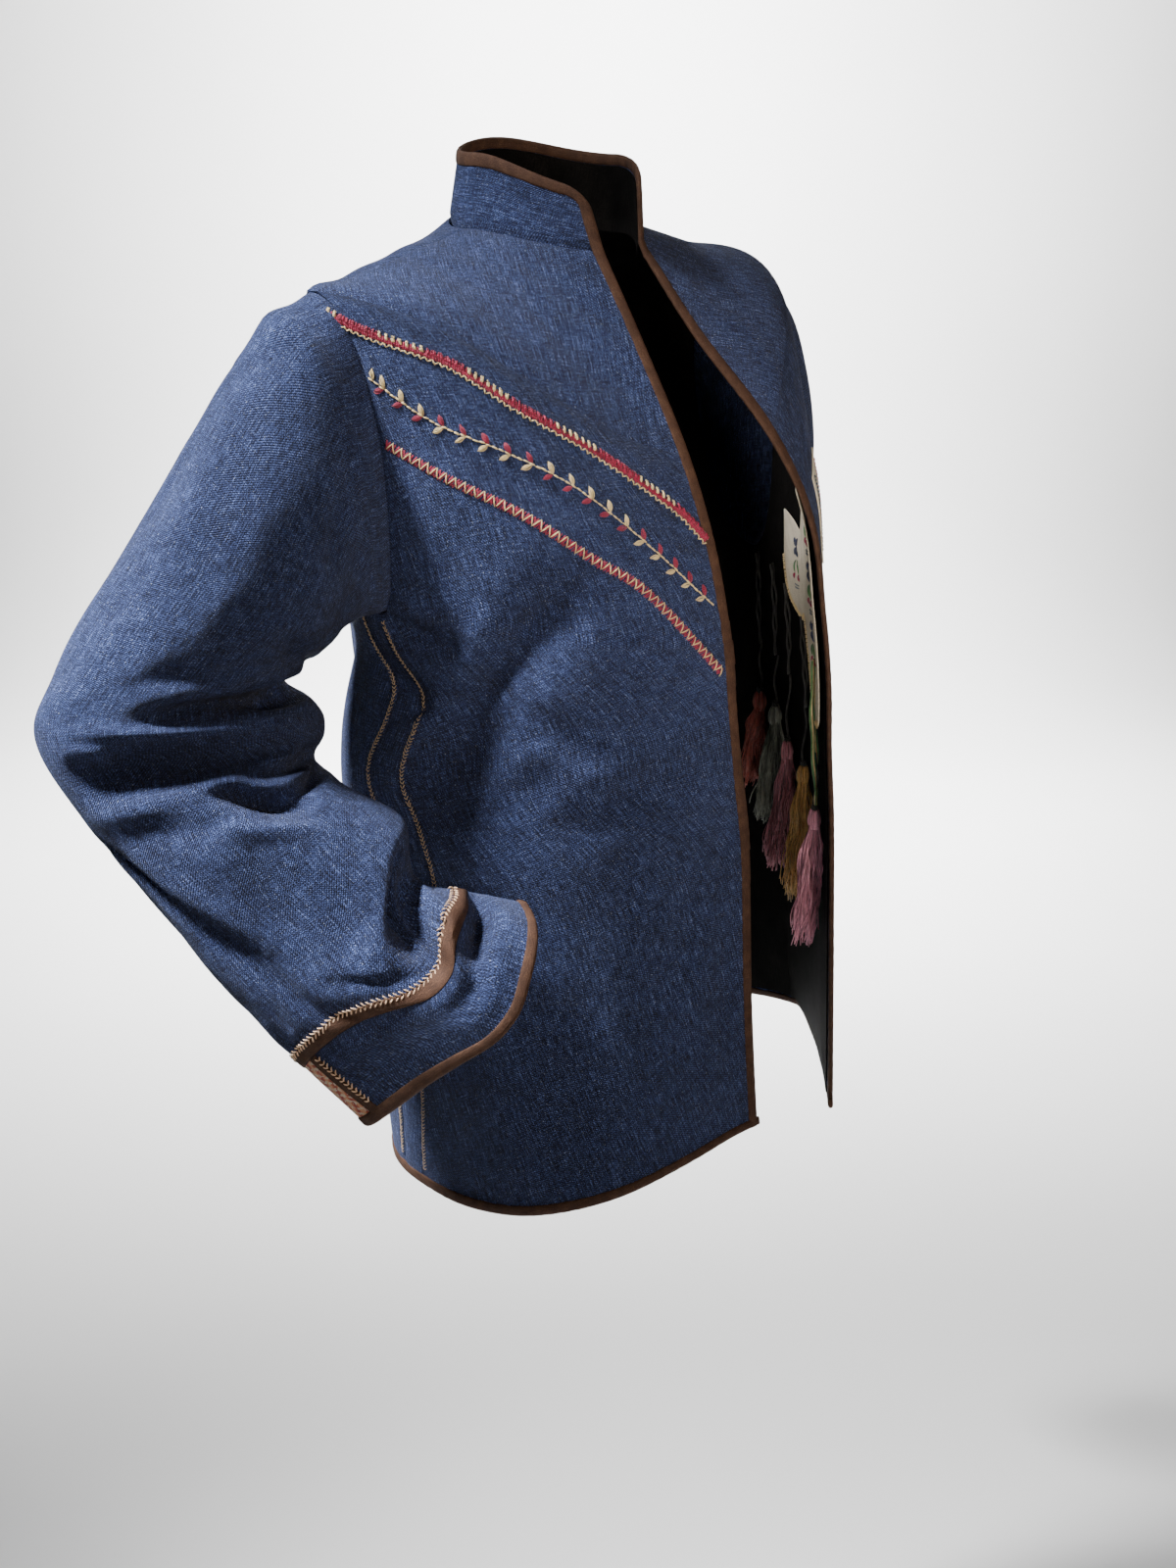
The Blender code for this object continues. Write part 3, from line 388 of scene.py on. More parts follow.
def collar_ring(height):
    height = np.asarray(height, float)[..., None]
    return named_ring(mix(COLLAR_NUMBERS[0], COLLAR_NUMBERS[1], height))


def edge_angle(ring, side):
    return np.degrees(np.arctan2(ring["centre_x"] - ring[side + "_edge_x"],
                                 ring["centre_y"] - ring[side + "_edge_y"]))


def ring_point(ring, angle):
    """Points of a ring, the angle in degrees from the front to the wearer's right."""
    angle = wrap(angle)
    turn = np.radians(angle)
    right = angle >= 0

    def pick(name):
        return np.where(right, ring["right_" + name], ring["left_" + name])

    half = abs(pick("side_x") - ring["centre_x"])
    side_z = pick("side_z")
    power = np.where(right, ring["round_right"], ring["round_left"])
    across = abs(pick("edge_x") - ring["centre_x"]) / half
    depth = (ring["centre_y"] - pick("edge_y")) / (1 - across**power) ** (1 / power)
    edge = np.where(right, edge_angle(ring, "right"), edge_angle(ring, "left"))
    end_z = side_z + (pick("edge_z") - side_z) / np.cos(np.radians(edge)) ** 2
    behind = abs(angle) > 90
    depth = np.where(behind, ring["back_y"] - ring["centre_y"], depth)
    power = np.where(behind, ring["round_back"], power)
    end_z = np.where(behind, ring["back_z"], end_z)
    sine, cosine = np.sin(turn), np.cos(turn)
    reach = (abs(sine / half) ** power + abs(cosine / depth) ** power) ** (-1 / power)
    return np.stack([ring["centre_x"] - reach * sine, ring["centre_y"] - reach * cosine,
                     mix(side_z, end_z, cosine * cosine)], axis=-1)


def facing_out(down, around, out):
    normal = unit(np.cross(down, around))
    return normal * np.where((normal * out).sum(-1, keepdims=True) < 0, -1.0, 1.0)


def smooth_body(level, angle):
    return ring_point(body_ring(level), angle)


def body_normal(level, angle):
    level, angle = np.broadcast_arrays(np.asarray(level, float), np.asarray(angle, float))
    down = smooth_body(level + 0.02, angle) - smooth_body(level - 0.02, angle)
    around = smooth_body(level, angle + 0.5) - smooth_body(level, angle - 0.5)
    ring = body_ring(level)
    middle = np.stack([ring["centre_x"], ring["centre_y"], ring["right_side_z"] - 0.1], axis=-1)
    return facing_out(down, around, smooth_body(level, angle) - middle)


def from_front_edge(level, angle):
    ring = body_ring(level)
    angle = wrap(angle)
    right, left = angle - edge_angle(ring, "right"), edge_angle(ring, "left") - angle
    return np.radians(np.minimum(abs(right), abs(left))) * BODY_RADIUS


def body_folds(level, angle, spread=1.0, table=BODY_FOLDS):
    height = smooth_body(level, angle)[..., 2]
    total = 0.0
    for from_angle, from_height, to_angle, to_height, width, size in table:
        middle = (from_angle + to_angle) / 2
        metres = np.radians(wrap(angle - middle) + middle) * BODY_RADIUS
        start = (math.radians(from_angle) * BODY_RADIUS, from_height)
        end = (math.radians(to_angle) * BODY_RADIUS, to_height)
        total = total + trough(metres, height, start, end, width * spread, size) ** 3
    hem = smooth_body(np.full_like(height, HEM_LEVEL), angle)[..., 2]
    fade = ease(from_front_edge(level, angle) / 0.045) * ease((height - hem) / 0.05)
    return np.cbrt(total) * fade


def body_depth(level, angle):
    """How far in the folds and the finer creases draw the cloth."""
    return body_folds(level, angle) + body_folds(level, angle, table=BODY_CREASES)


def shoulder_set(level, angle):
    """How the worn right shoulder sinks towards its seam and rises beside the collar."""
    total = 0.0
    for at_level, level_width, at_angle, angle_width, size in SHOULDER_SET:
        away = ((level - at_level) / level_width) ** 2 + ((angle - at_angle) / angle_width) ** 2
        total = total + size * np.exp(-away)
    return total


def body_point(level, angle):
    level, angle = np.broadcast_arrays(np.asarray(level, float), np.asarray(angle, float))
    plain = smooth_body(level, angle)
    depth = body_depth(level, angle) + shoulder_set(level, angle)
    across = np.radians(wrap(angle)) * BODY_RADIUS
    quiet = ease(from_front_edge(level, angle) / 0.03) * ease((level - 1.0) / 1.5)
    depth = depth + BODY_UNEVEN * quiet * ripple(across, plain[..., 2], 0.022, 0.7)
    return plain - body_normal(level, angle) * depth[..., None]


def lining_point(level, angle):
    level, angle = np.broadcast_arrays(np.asarray(level, float), np.asarray(angle, float))
    plain = smooth_body(level, angle)
    hem = smooth_body(np.full_like(level, HEM_LEVEL), angle)[..., 2]
    inward = ease(np.minimum(from_front_edge(level, angle), plain[..., 2] - hem) / 0.05) * ease(level / 0.8)
    hang = LINING_HANG * inward + body_folds(level, angle, LINING_SPREAD) * LINING_SWELL
    hang = hang + shoulder_set(level, angle)
    return plain - body_normal(level, angle) * (CLOTH + LINING_EDGE + hang)[..., None]


def level_at(angle, height):
    """The level at which the body has a height, at each angle."""
    levels = np.linspace(0.0, HEM_LEVEL, 181)
    found = []
    for a, z in zip(angle, height):
        heights = smooth_body(levels, np.full_like(levels, a))[:, 2]
        found.append(np.interp(-z, -heights, levels))
    return np.array(found)


# ---------------------------------------------------------------- collar surface
def collar_point(height, angle):
    height, angle = np.broadcast_arrays(np.asarray(height, float), np.asarray(angle, float))
    plain = ring_point(collar_ring(height), angle)
    across = np.radians(wrap(angle)) * NECK_RADIUS
    total = 0.0
    for from_angle, from_height, to_angle, to_height, width, size in COLLAR_CREASES:
        start = (math.radians(from_angle) * NECK_RADIUS, from_height * COLLAR_HEIGHT)
        end = (math.radians(to_angle) * NECK_RADIUS, to_height * COLLAR_HEIGHT)
        total = total + trough(across, height * COLLAR_HEIGHT, start, end, width, size)
    out = unit(plain * np.array([1.0, 1.0, 0.0]))
    return plain - out * total[..., None]


def collar_normal(height, angle):
    height, angle = np.broadcast_arrays(np.asarray(height, float), np.asarray(angle, float))
    plain = collar_ring(height)
    up = ring_point(collar_ring(height + 0.05), angle) - ring_point(collar_ring(height - 0.05), angle)
    around = ring_point(plain, angle + 0.5) - ring_point(plain, angle - 0.5)
    return facing_out(up, around, ring_point(plain, angle) * np.array([1.0, 1.0, 0.0]))


# ---------------------------------------------------------------- sleeve surface
def armhole(side, share, half):
    """(level, angle) of the armhole's edge; share runs 0 at the shoulder to 1."""
    level = 3.0 - math.cos(math.pi * share)
    bite = math.sin(math.pi * share)
    row = BODY[int(UNDERARM_LEVEL)]
    if half == "front":
        angle = 90.0 - ARMHOLE_FRONT * bite - (90.0 - row[BODY_COLUMNS.index("gore_front")]) * share**2
    else:
        angle = 90.0 + ARMHOLE_BACK * bite - (90.0 - row[BODY_COLUMNS.index("gore_back")]) * share**2
    return level, angle * SIGN[side]


class Sleeve:
    """A tube from the armhole through the sections of its table."""

    def __init__(self, side, table):
        self.side = side
        self.folds = SLEEVE_FOLDS[side]
        self.creases = SLEEVE_CREASES[side]
        self.rows = [dict(zip(SLEEVE_COLUMNS, row)) for row in table]
        self.last = len(self.rows)
        self.strip = self.last - 1.0
        start, self.start_normals = self.armhole_ring()
        self.rings = np.array([start] + [self.section(i) for i in range(len(self.rows))])
        self.middles = self.rings.mean(axis=1)

    def armhole_ring(self):
        places = [armhole(self.side, i / ARM_ROWS, "front") for i in range(ARM_ROWS + 1)]
        front, back = places[-1], armhole(self.side, 1.0, "back")
        places.append((front[0], (front[1] + back[1]) / 2))
        places += [armhole(self.side, i / ARM_ROWS, "back") for i in range(ARM_ROWS, 0, -1)]
        level, angle = np.array(places).T
        points = body_point(level, angle)
        return points + unit(points.mean(axis=0) - points) * ARMHOLE_GAP, body_normal(level, angle)

    def line_point(self, row, line):
        return np.array([-row[line + "_x"] * SIGN[self.side], row[line + "_y"], row[line + "_z"]])

    def section(self, i):
        last = len(self.rows) - 1
        lines = [[self.line_point(row, line) for line in ("outer", "inner")] for row in self.rows]
        outer, inner = lines[i]
        run = sum(lines[min(i + 1, last)]) - sum(lines[max(i - 1, 0)])
        middle, wide = (outer + inner) / 2, (outer - inner) / 2
        front = unit(np.cross(wide, run)) * SIGN[self.side]
        row = self.rows[i]
        turn = 2 * math.pi * np.arange(RING) / RING
        depth = row["half_depth"] * (1 - row["taper"] * np.cos(turn))
        lead = mix(row["lead_low"], row["lead_high"], (1 - np.cos(turn)) / 2)
        lead = lead * np.sin(turn) * np.where(turn < math.pi, 1.0, 0.3)
        lead = lead + row["bulge"] * np.exp(-(((turn / 2 / math.pi - BULGE_TURN) / BULGE_WIDTH) ** 2))
        return (middle + np.outer(np.cos(turn), wide) + np.outer(depth * np.sin(turn), front)
                + np.outer(lead, unit(run)))

    def smooth(self, station, k):
        station, k = np.broadcast_arrays(np.asarray(station, float), np.asarray(k, float))
        station = np.clip(station, 0.0, float(self.last))
        i = np.minimum(station.astype(int), self.last - 1)
        low = np.floor(k).astype(int)
        ends = np.concatenate(([2 * self.rings[0] - self.rings[1]], self.rings,
                               [2 * self.rings[-1] - self.rings[-2]]))
        total = 0.0
        for down, down_weight in enumerate(curve_weights(station - i)):
            for step, weight in enumerate(curve_weights(k - low)):
                total = total + ends[i + down, (low + step - 1) % RING] * (down_weight * weight)[..., None]
        return total

    def normal(self, station, k):
        station, k = np.broadcast_arrays(np.asarray(station, float), np.asarray(k, float))
        near, far = np.maximum(station - 0.03, 0.0), np.minimum(station + 0.03, float(self.last))
        run = self.smooth(far, k) - self.smooth(near, k)
        around = self.smooth(station, k + 0.5) - self.smooth(station, k - 0.5)
        normal = facing_out(run, around, self.smooth(station, k) - along(self.middles, station))
        low = np.floor(k).astype(int)
        share = (k - low)[..., None]
        start = mix(self.start_normals[low % RING], self.start_normals[(low + 1) % RING], share)
        return unit(mix(start, normal, ease(station / 0.6)[..., None]))

    def drawn_in(self, table, down, turn):
        """How far in a table's folds draw the cloth."""
        total = 0.0
        for from_station, from_turn, to_station, to_turn, width, size in table:
            middle = (from_turn + to_turn) / 2
            round_ = ((turn - middle + 0.5) % 1.0 - 0.5 + middle) * FOLD_ROUND
            start = (from_station * FOLD_STATION, from_turn * FOLD_ROUND)
            end = (to_station * FOLD_STATION, to_turn * FOLD_ROUND)
            total = total + trough(down, round_, start, end, width, abs(size)) ** 3 * np.sign(size)
        return np.cbrt(total)

    def depth(self, station, k):
        turn, down = k / RING, station * FOLD_STATION
        fade = ease(station / 0.6) * ease((self.last - station) / 0.8)
        uneven = SLEEVE_UNEVEN * ripple(down, turn % 1.0 * FOLD_ROUND, 0.020, 1.9)
        deep, fine = self.drawn_in(self.folds, down, turn), self.drawn_in(self.creases, down, turn)
        return (deep + fine + uneven) * fade

    def point(self, station, k):
        station, k = np.broadcast_arrays(np.asarray(station, float), np.asarray(k, float))
        return self.smooth(station, k) - self.normal(station, k) * self.depth(station, k)[..., None]

    def inside(self, station, k):
        """The sleeve's black inside, a little in from the cloth."""
        return self.point(station, k) - self.normal(station, k) * (CLOTH + 0.0004)


# ---------------------------------------------------------------- meshes
def mesh_object(name, vertices, faces, uv, material):
    """faces is a list of index arrays (n, corners); uv a matching list (n, corners, 2)."""
    mesh = bpy.data.meshes.new(name)
    mesh.from_pydata(np.asarray(vertices).tolist(), [], [face for group in faces for face in group.tolist()])
    layer = mesh.uv_layers.new(name="cloth")
    layer.data.foreach_set("uv", np.concatenate([group.reshape(-1) for group in uv]).astype(np.float32))
    mesh.materials.append(material)
    mesh.shade_smooth()
    thing = bpy.data.objects.new(name, mesh)
    bpy.context.scene.collection.objects.link(thing)
    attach(thing, "root")
    return thing


def spans(points, axis):
    """Distance along an axis of a grid from its first row or column."""
    steps = np.linalg.norm(np.diff(points, axis=axis), axis=-1)
    shape = list(points.shape[:2])
    shape[axis] = 1
    return np.concatenate([np.zeros(shape), np.cumsum(steps, axis=axis)], axis=axis)


def grain(points, closed=False):
    """Cloth coordinates in metres: across from the middle column, and down it."""
    if closed:
        points = np.concatenate([points, points[:, :1]], axis=1)
    middle = points.shape[1] // 2
    across = spans(points, 1)
    across = across - across[:, middle:middle + 1]
    down = spans(points, 0)[:, middle:middle + 1] + np.zeros_like(across)
    return np.stack([across, down], axis=-1)


def wall(name, outer, inner, material, closed=False, turned=False, lean=0.0):
    """A closed cloth wall between two grids of points."""
    rows, columns = outer.shape[:2]
    uv = grain(outer, closed)
    if lean:
        slant = math.radians(lean)
        uv = uv @ np.array([[math.cos(slant), -math.sin(slant)], [math.sin(slant), math.cos(slant)]])
    if turned:
        uv = uv[..., ::-1]
    i, j = np.mgrid[0:rows - 1, 0:columns if closed else columns - 1]
    i, j = i.ravel(), j.ravel()
    corners_i = np.stack([i, i + 1, i + 1, i], axis=1)
    corners_j = np.stack([j, j, j + 1, j + 1], axis=1)
    index = corners_i * columns + corners_j % columns
    sheet_uv = uv[corners_i, corners_j]
    first = outer[corners_i[0], corners_j[0] % columns]
    out = (outer[corners_i[0, 0], corners_j[0, 0]] - inner[corners_i[0, 0], corners_j[0, 0]])
    flip = np.dot(np.cross(first[1] - first[0], first[3] - first[0]), out) < 0
    shift = rows * columns
    faces, sheets = [index, index[:, ::-1] + shift], [sheet_uv, sheet_uv[:, ::-1]]
    for row in (0, rows - 1):
        a = np.arange(columns if closed else columns - 1)
        b = (a + 1) % columns
        near, far = row * columns + a, row * columns + b
        strip = np.stack([near, far, far + shift, near + shift], axis=1)
        strip_uv = uv[row, np.stack([a, a + 1, a + 1, a], axis=1)]
        faces.append(strip if row == 0 else strip[:, ::-1])
        sheets.append(strip_uv if row == 0 else strip_uv[:, ::-1])
    for column in () if closed else (0, columns - 1):
        a = np.arange(rows - 1)
        near, far = a * columns + column, (a + 1) * columns + column
        strip = np.stack([near, far, far + shift, near + shift], axis=1)
        strip_uv = uv[np.stack([a, a + 1, a + 1, a], axis=1), column]
        faces.append(strip[:, ::-1] if column == 0 else strip)
        sheets.append(strip_uv[:, ::-1] if column == 0 else strip_uv)
    if flip:
        faces, sheets = [face[:, ::-1] for face in faces], [sheet[:, ::-1] for sheet in sheets]
    vertices = np.concatenate([outer.reshape(-1, 3), inner.reshape(-1, 3)])
    thing = mesh_object(name, vertices, faces, sheets, material)
    thing.data.set_sharp_from_angle(angle=math.radians(60))
    return thing


def seam_dip(points, normals, sides, width=0.0022, depth=0.0009):
    """Draw a panel's sewn edges in a little, so that seams read as lines."""
    across, down = spans(points, 1), spans(points, 0)
    gaps = {"start": across, "end": across[:, -1:] - across, "top": down, "bottom": down[-1:] - down}
    dip = sum(depth * np.exp(-((gaps[side] / width) ** 2)) for side in sides)
    return points - normals * np.minimum(dip, depth)[..., None]


ASLANT = (0.31, 0.52, 0.79)     # a direction that no thread runs along
THREAD_AROUND = 0.003           # cloth metres round a thread
THREAD_APART = 0.0377           # and between one thread and the next


def tube(name, centres, radii, material, sides=6, twist=0.0):
    """Round threads: centres (threads, points, 3), radii (threads, points)."""
    centres = np.asarray(centres, float)
    threads, count = centres.shape[:2]
    radii = np.broadcast_to(radii, (threads, count))
    run = unit(np.gradient(centres, axis=1))
    side = unit(np.cross(run, np.array(ASLANT) + np.zeros_like(centres)))
    top = np.cross(side, run)
    turn = 2 * math.pi * np.arange(sides) / sides
    ring = side[:, :, None] * np.cos(turn)[:, None] + top[:, :, None] * np.sin(turn)[:, None]
    vertices = centres[:, :, None] + ring * radii[:, :, None, None]
    base = (np.arange(threads) * count * sides)[:, None, None]
    i, j = np.arange(count - 1)[:, None] * sides, np.arange(sides)
    k = (j + 1) % sides
    quads = np.stack([i + j, i + k, i + sides + k, i + sides + j], axis=-1)
    quads = (base[..., None] + quads).reshape(-1, 4)
    caps = np.concatenate([(base[:, 0] + j[::-1]), base[:, 0] + (count - 1) * sides + j])
    length = np.concatenate([np.zeros((threads, 1)), np.cumsum(
        np.linalg.norm(np.diff(centres, axis=1), axis=-1), axis=1)], axis=1)
    down = np.stack([length[:, :-1], length[:, :-1], length[:, 1:], length[:, 1:]], axis=-1)
    down = np.broadcast_to(down[:, :, None], (threads, count - 1, sides, 4))
    around = np.stack([j, j + 1, j + 1, j], axis=-1) / sides
    around = np.broadcast_to(around, (threads, count - 1, sides, 4)) * THREAD_AROUND + twist * down
    down = down + np.arange(threads)[:, None, None, None] * THREAD_APART
    uv = np.stack([around, down], axis=-1).reshape(-1, 4, 2)
    cap_uv = np.zeros((len(caps), sides, 2))
    return mesh_object(name, vertices.reshape(-1, 3), [quads, caps], [uv, cap_uv], material)

# ---------------------------------------------------------------- finishes
class Flow:
    """A socket to reckon with; operators add the nodes."""

    def __init__(self, finish, socket):
        self.finish = finish
        self.socket = socket

    def reckon(self, operation, other, swapped=False):
        a, b = (other, self) if swapped else (self, other)
        kinds = {part.socket.type for part in (a, b) if isinstance(part, Flow)}
        if "VECTOR" in kinds:
            return self.finish.add("ShaderNodeVectorMath", {"operation": operation},
                                   {"Vector": a, "Vector_001": b}, "Vector")
        return self.finish.add("ShaderNodeMath", {"operation": operation},
                               {"Value": a, "Value_001": b}, "Value")

    def __add__(self, other):
        return self.reckon("ADD", other)

    def __radd__(self, other):
        return self.reckon("ADD", other, True)

    def __sub__(self, other):
        return self.reckon("SUBTRACT", other)

    def __mul__(self, other):
        return self.reckon("MULTIPLY", other)


class Finish:
    """A cloth's or thread's material."""

    def __init__(self, name, **constants):
        self.material = bpy.data.materials.new(name)
        self.material.use_nodes = True
        self.tree = self.material.node_tree
        self.shader = self.tree.nodes["Principled BSDF"]
        for socket, value in constants.items():
            self.shader.inputs[socket.replace("_", " ")].default_value = value

    def join(self, value, socket):
        if isinstance(value, Flow):
            self.tree.links.new(value.socket, socket)
        elif socket.type == "RGBA":
            socket.default_value = (*np.broadcast_to(value, 3), 1.0)
        elif socket.type == "VECTOR":
            socket.default_value = tuple(np.broadcast_to(value, 3))
        else:
            socket.default_value = value

    def add(self, kind, settings, values, result):
        node = self.tree.nodes.new(kind)
        for name, value in settings.items():
            if name == "stops":
                ramp = node.color_ramp.elements
                for extra in value[2:]:
                    ramp.new(extra[0])
                for element, (place, colour) in zip(ramp, sorted(value)):
                    element.position = place
                    element.color = (*colour, 1.0)
            else:
                setattr(node, name, value)
        for name, value in values.items():
            self.join(value, next(s for s in node.inputs if s.identifier == name))
        return Flow(self, next(s for s in node.outputs if s.identifier == result))

    def blend(self, a, b, share):
        return self.add("ShaderNodeMix", {"data_type": "RGBA", "blend_type": "MIX"},
                        {"Factor_Float": share, "A_Color": a, "B_Color": b}, "Result_Color")

    def cloth(self):
        return self.add("ShaderNodeUVMap", {"uv_map": "cloth"}, {}, "UV")

    def mark(self, name):
        return self.add("ShaderNodeAttribute", {"attribute_name": name}, {}, "Fac")

    def noise(self, where, size, detail=2.0, start=0.0):
        """Soft noise around nought, in spots of a size across and down, in metres."""
        across, down = size
        place = where * (1 / across, 1 / down, 1.0) + (start, start * 1.7, 0.0)
        return self.add("ShaderNodeTexNoise", {"noise_dimensions": "2D"},
                        {"Vector": place, "Scale": 1.0, "Detail": detail}, "Fac") - 0.5

    def split(self, where):
        whole = self.add("ShaderNodeSeparateXYZ", {}, {"Vector": where}, "X")
        return whole, Flow(self, whole.socket.node.outputs["Y"])

    def sine(self, value, pitch):
        """A wave between -1 and 1 that repeats each pitch."""
        turn = value * (2 * math.pi / pitch)
        return self.add("ShaderNodeMath", {"operation": "SINE"}, {"Value": turn}, "Value")

    def over(self, value, low, high):
        """0 below low, 1 above high, soft between."""
        return self.add("ShaderNodeMapRange", {"interpolation_type": "SMOOTHSTEP"},
                        {"Value": value, "From Min": low, "From Max": high}, "Result")

    def ramp(self, value, stops):
        return self.add("ShaderNodeValToRGB", {"stops": stops}, {"Fac": value}, "Color")

    def wear(self, colour, height, distance):
        """Put a colour and a relief in metres on the shader."""
        self.join(colour, self.shader.inputs["Base Color"])
        relief = {"Strength": 1.0, "Distance": distance, "Height": height}
        bump = self.add("ShaderNodeBump", {}, relief, "Normal")
        self.join(bump, self.shader.inputs["Normal"])
        return self.material


def plain_weave(make, cloth, pitch):
    """Warp over weft over warp, as relief between -1 and 1."""
    across, down = make.split(cloth)
    return make.sine(across, pitch * 2) * make.sine(down, pitch * 2)


def indigo_hemp():
    make = Finish("indigo_hemp_cloth", Roughness=0.88, Specular_IOR_Level=0.2, Sheen_Weight=0.05)
    cloth = make.cloth()
    across, down = make.split(cloth)
    warp = make.noise(cloth, (.0008, .013), 2.0)
    weft = make.noise(cloth, (.010, .0008), 2.0, 3.1)
    spark = make.noise(cloth, (.0008, .0011), 1.0, 7.3)
    cloud = make.noise(cloth, (.060, .040), 2.0, 1.9)
    slub = make.over(make.noise(cloth, (.0009, .009), 1.0, 15.3), .17, .24)
    cross_slub = make.over(make.noise(cloth, (.009, .0009), 1.0, 21.9), .17, .24)
    long_yarn = make.over(make.noise(cloth, (.0013, .14), 0.0, 27.3), .17, .22)
    fleck = make.over(make.noise(cloth, (.0011, .0022), 1.0, 11.7), .25, .31)
    twill = make.sine(across + down + cloud * .004, .0021)
    # Painted shade and light: the tone drops where the cloth lies further in, in its creases, and rises where
    # it stands out, on its ridges, read from the fold attribute.
    fold = make.mark("fold")
    tone = 0.47 + warp * 0.8 + weft * 0.5 + spark * 0.8 + twill * 0.10 + cloud * 0.12 - fold * 0.06
    tone = tone + slub * 0.14 + cross_slub * 0.15 + long_yarn * (spark + 0.25) * 0.28
    colour = make.ramp(tone, (
        (.04, (.0033, .0040, .0105)), (.97, (.21, .28, .57)), (.32, (.0125, .017, .046)),
        (.54, (.028, .042, .117)), (.76, (.074, .112, .29))))
    colour = make.blend(colour, (.50, .58, .78), fleck * 0.5)
    height = plain_weave(make, cloth, .0011) * 0.45 + twill * .4 + warp * 1.4 + weft * 1.6
    height = height + slub + cross_slub
    return make.wear(colour, height, .00042)


def cotton(name, spots, middle, stops, pitch, weave, relief, **looks):
    """Plain cotton.  Each spot row has a size, detail and start, and its shares of tone and height."""
    make = Finish(name, **looks)
    cloth = make.cloth()
    tone, height = middle, plain_weave(make, cloth, pitch) * weave
    for size, detail, start, shade, rise in spots:
        spot = make.noise(cloth, size, detail, start)
        tone = tone + spot * shade
        if rise:
            height = height + spot
    return make.wear(make.ramp(tone, stops), height, relief)


def cuff_stitching():
    """Close red and orange counted stitches with cream points, in slanting bands."""
    make = Finish("cuff_panel_stitching", Roughness=0.7, Sheen_Weight=0.15)
    cloth = make.cloth()
    across, down = make.split(cloth)
    stray = make.noise(cloth, (.004, .004), 2.0)
    bands = make.sine(across + down * 0.6 + stray * .0012, .0078)
    checks = make.sine(across + stray * .010, .0078) * make.sine(down + stray * .012, .0064)
    points = make.over(checks, .12, .40)
    stitch = make.sine(across * 0.5 + down, .0011)
    mottle = make.noise(cloth, (.002, .002), 2.0, 3.3)
    ground = make.ramp(0.5 + bands * 0.32 + mottle * 0.5, (
        (.15, (.45, .060, .040)), (.85, (.86, .50, .28)), (.45, (.70, .17, .085)), (.62, (.80, .30, .15))))
    colour = make.blend(ground, (.88, .74, .56), points * 0.9)
    return make.wear(colour, stitch + mottle * 0.8 + points * 0.6, .00035)


def thread(name, colour, spread):
    """Two-ply twisted thread; its colour strays lighter and darker by a share."""
    make = Finish(name, Roughness=0.62, Sheen_Weight=0.2)
    cloth = make.cloth()
    across, down = make.split(cloth)
    twist = make.sine(across + down * 0.8, .0011)
    mottle = make.noise(cloth, (.002, .006), 2.0)
    tone = 0.5 + mottle * 0.9 + twist * 0.10
    dark = tuple(c * (1 - spread * 1.3) for c in colour)
    light = tuple(min(c * (1 + spread), 1) for c in colour)
    return make.wear(make.ramp(tone, ((.2, dark), (.8, light), (.5, colour))), twist + mottle, .00018)


def pale_board():
    make = Finish("pale_studio_board", Roughness=0.95)
    place = make.add("ShaderNodeTexCoord", {}, {}, "Object")
    tone = make.noise(place, (.7, .9), 2.0)
    return make.wear(make.ramp(0.5 + tone, ((.3, (.80, .80, .80)), (.7, (.84, .84, .84)))), tone, .0002)


HEMP = indigo_hemp()
BROWN = cotton(
    "brown_binding_cloth",
    (((.0006, .005), 2.0, 0.0, .4, True),
     ((.012, .009), 2.0, 2.2, .35, False),
     ((.0008, .0008), 1.0, 5.5, .5, True)),
    0.5, ((.15, (.022, .010, .006)), (.85, (.145, .074, .044)), (.5, (.068, .032, .019))),
    pitch=.0006, weave=.4, relief=.00022, Roughness=0.8, Specular_IOR_Level=0.3)
BLACK = cotton(
    "black_lining_cloth",
    (((.020, .030), 4.0, 0.0, .7, False),
     ((.0012, .0012), 1.0, 4.1, .6, True),
     ((.0010, .012), 1.0, 6.1, .4, True)),
    0.45, ((.2, (.0015, .0013, .0013)), (.9, (.014, .012, .011)), (.5, (.0040, .0035, .0034))),
    pitch=.0007, weave=.4, relief=.00028, Roughness=0.9, Specular_IOR_Level=0.1)
CREAM_CLOTH = cotton(
    "cream_panel_cloth",
    (((.012, .012), 3.0, 0.0, .5, False), ((.0010, .0010), 1.0, 4.1, .7, True)),
    0.5, ((.2, (.52, .43, .31)), (.85, (.88, .80, .65)), (.5, (.76, .67, .51))),
    pitch=.0007, weave=.5, relief=.00030, Roughness=0.8, Sheen_Weight=0.1)
CUFF_STITCHING = cuff_stitching()
# Each thread's colour, and how far it strays lighter and darker.
THREAD_COLOURS = {
    "cream": ((.96, .73, .37), 0.14),
    "red": ((.37, .006, .055), 0.30),
    "tan": ((.60, .44, .29), 0.25),
    "pale": ((.90, .60, .40), 0.18),
    "navy": ((.022, .030, .090), 0.4),
    "green": ((.075, .20, .055), 0.4),
    "grey": ((.17, .18, .19), 0.4),
}
THREADS = {name: thread(name + "_thread_finish", *row) for name, row in THREAD_COLOURS.items()}
DARK = thread("dark_cord_finish", (.026, .025, .019), 0.5)

# ---------------------------------------------------------------- putting pieces on the part
def dress(thing, slot, *nodes):
    """Hide the solids that a piece stands for; its slot is not used."""
    if nodes:
        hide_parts(*nodes)
    return thing


def paint_crease_shade(thing, depth):
    """Keep how far in the cloth lies, in centimetres, for painted shade: the cloth's colour is darkened in
    its creases and lightened on its ridges.
    """
    values = np.concatenate([depth.ravel(), depth.ravel()]) * 100
    thing.data.attributes.new("fold", "FLOAT", "POINT").data.foreach_set("value", values.astype(np.float32))


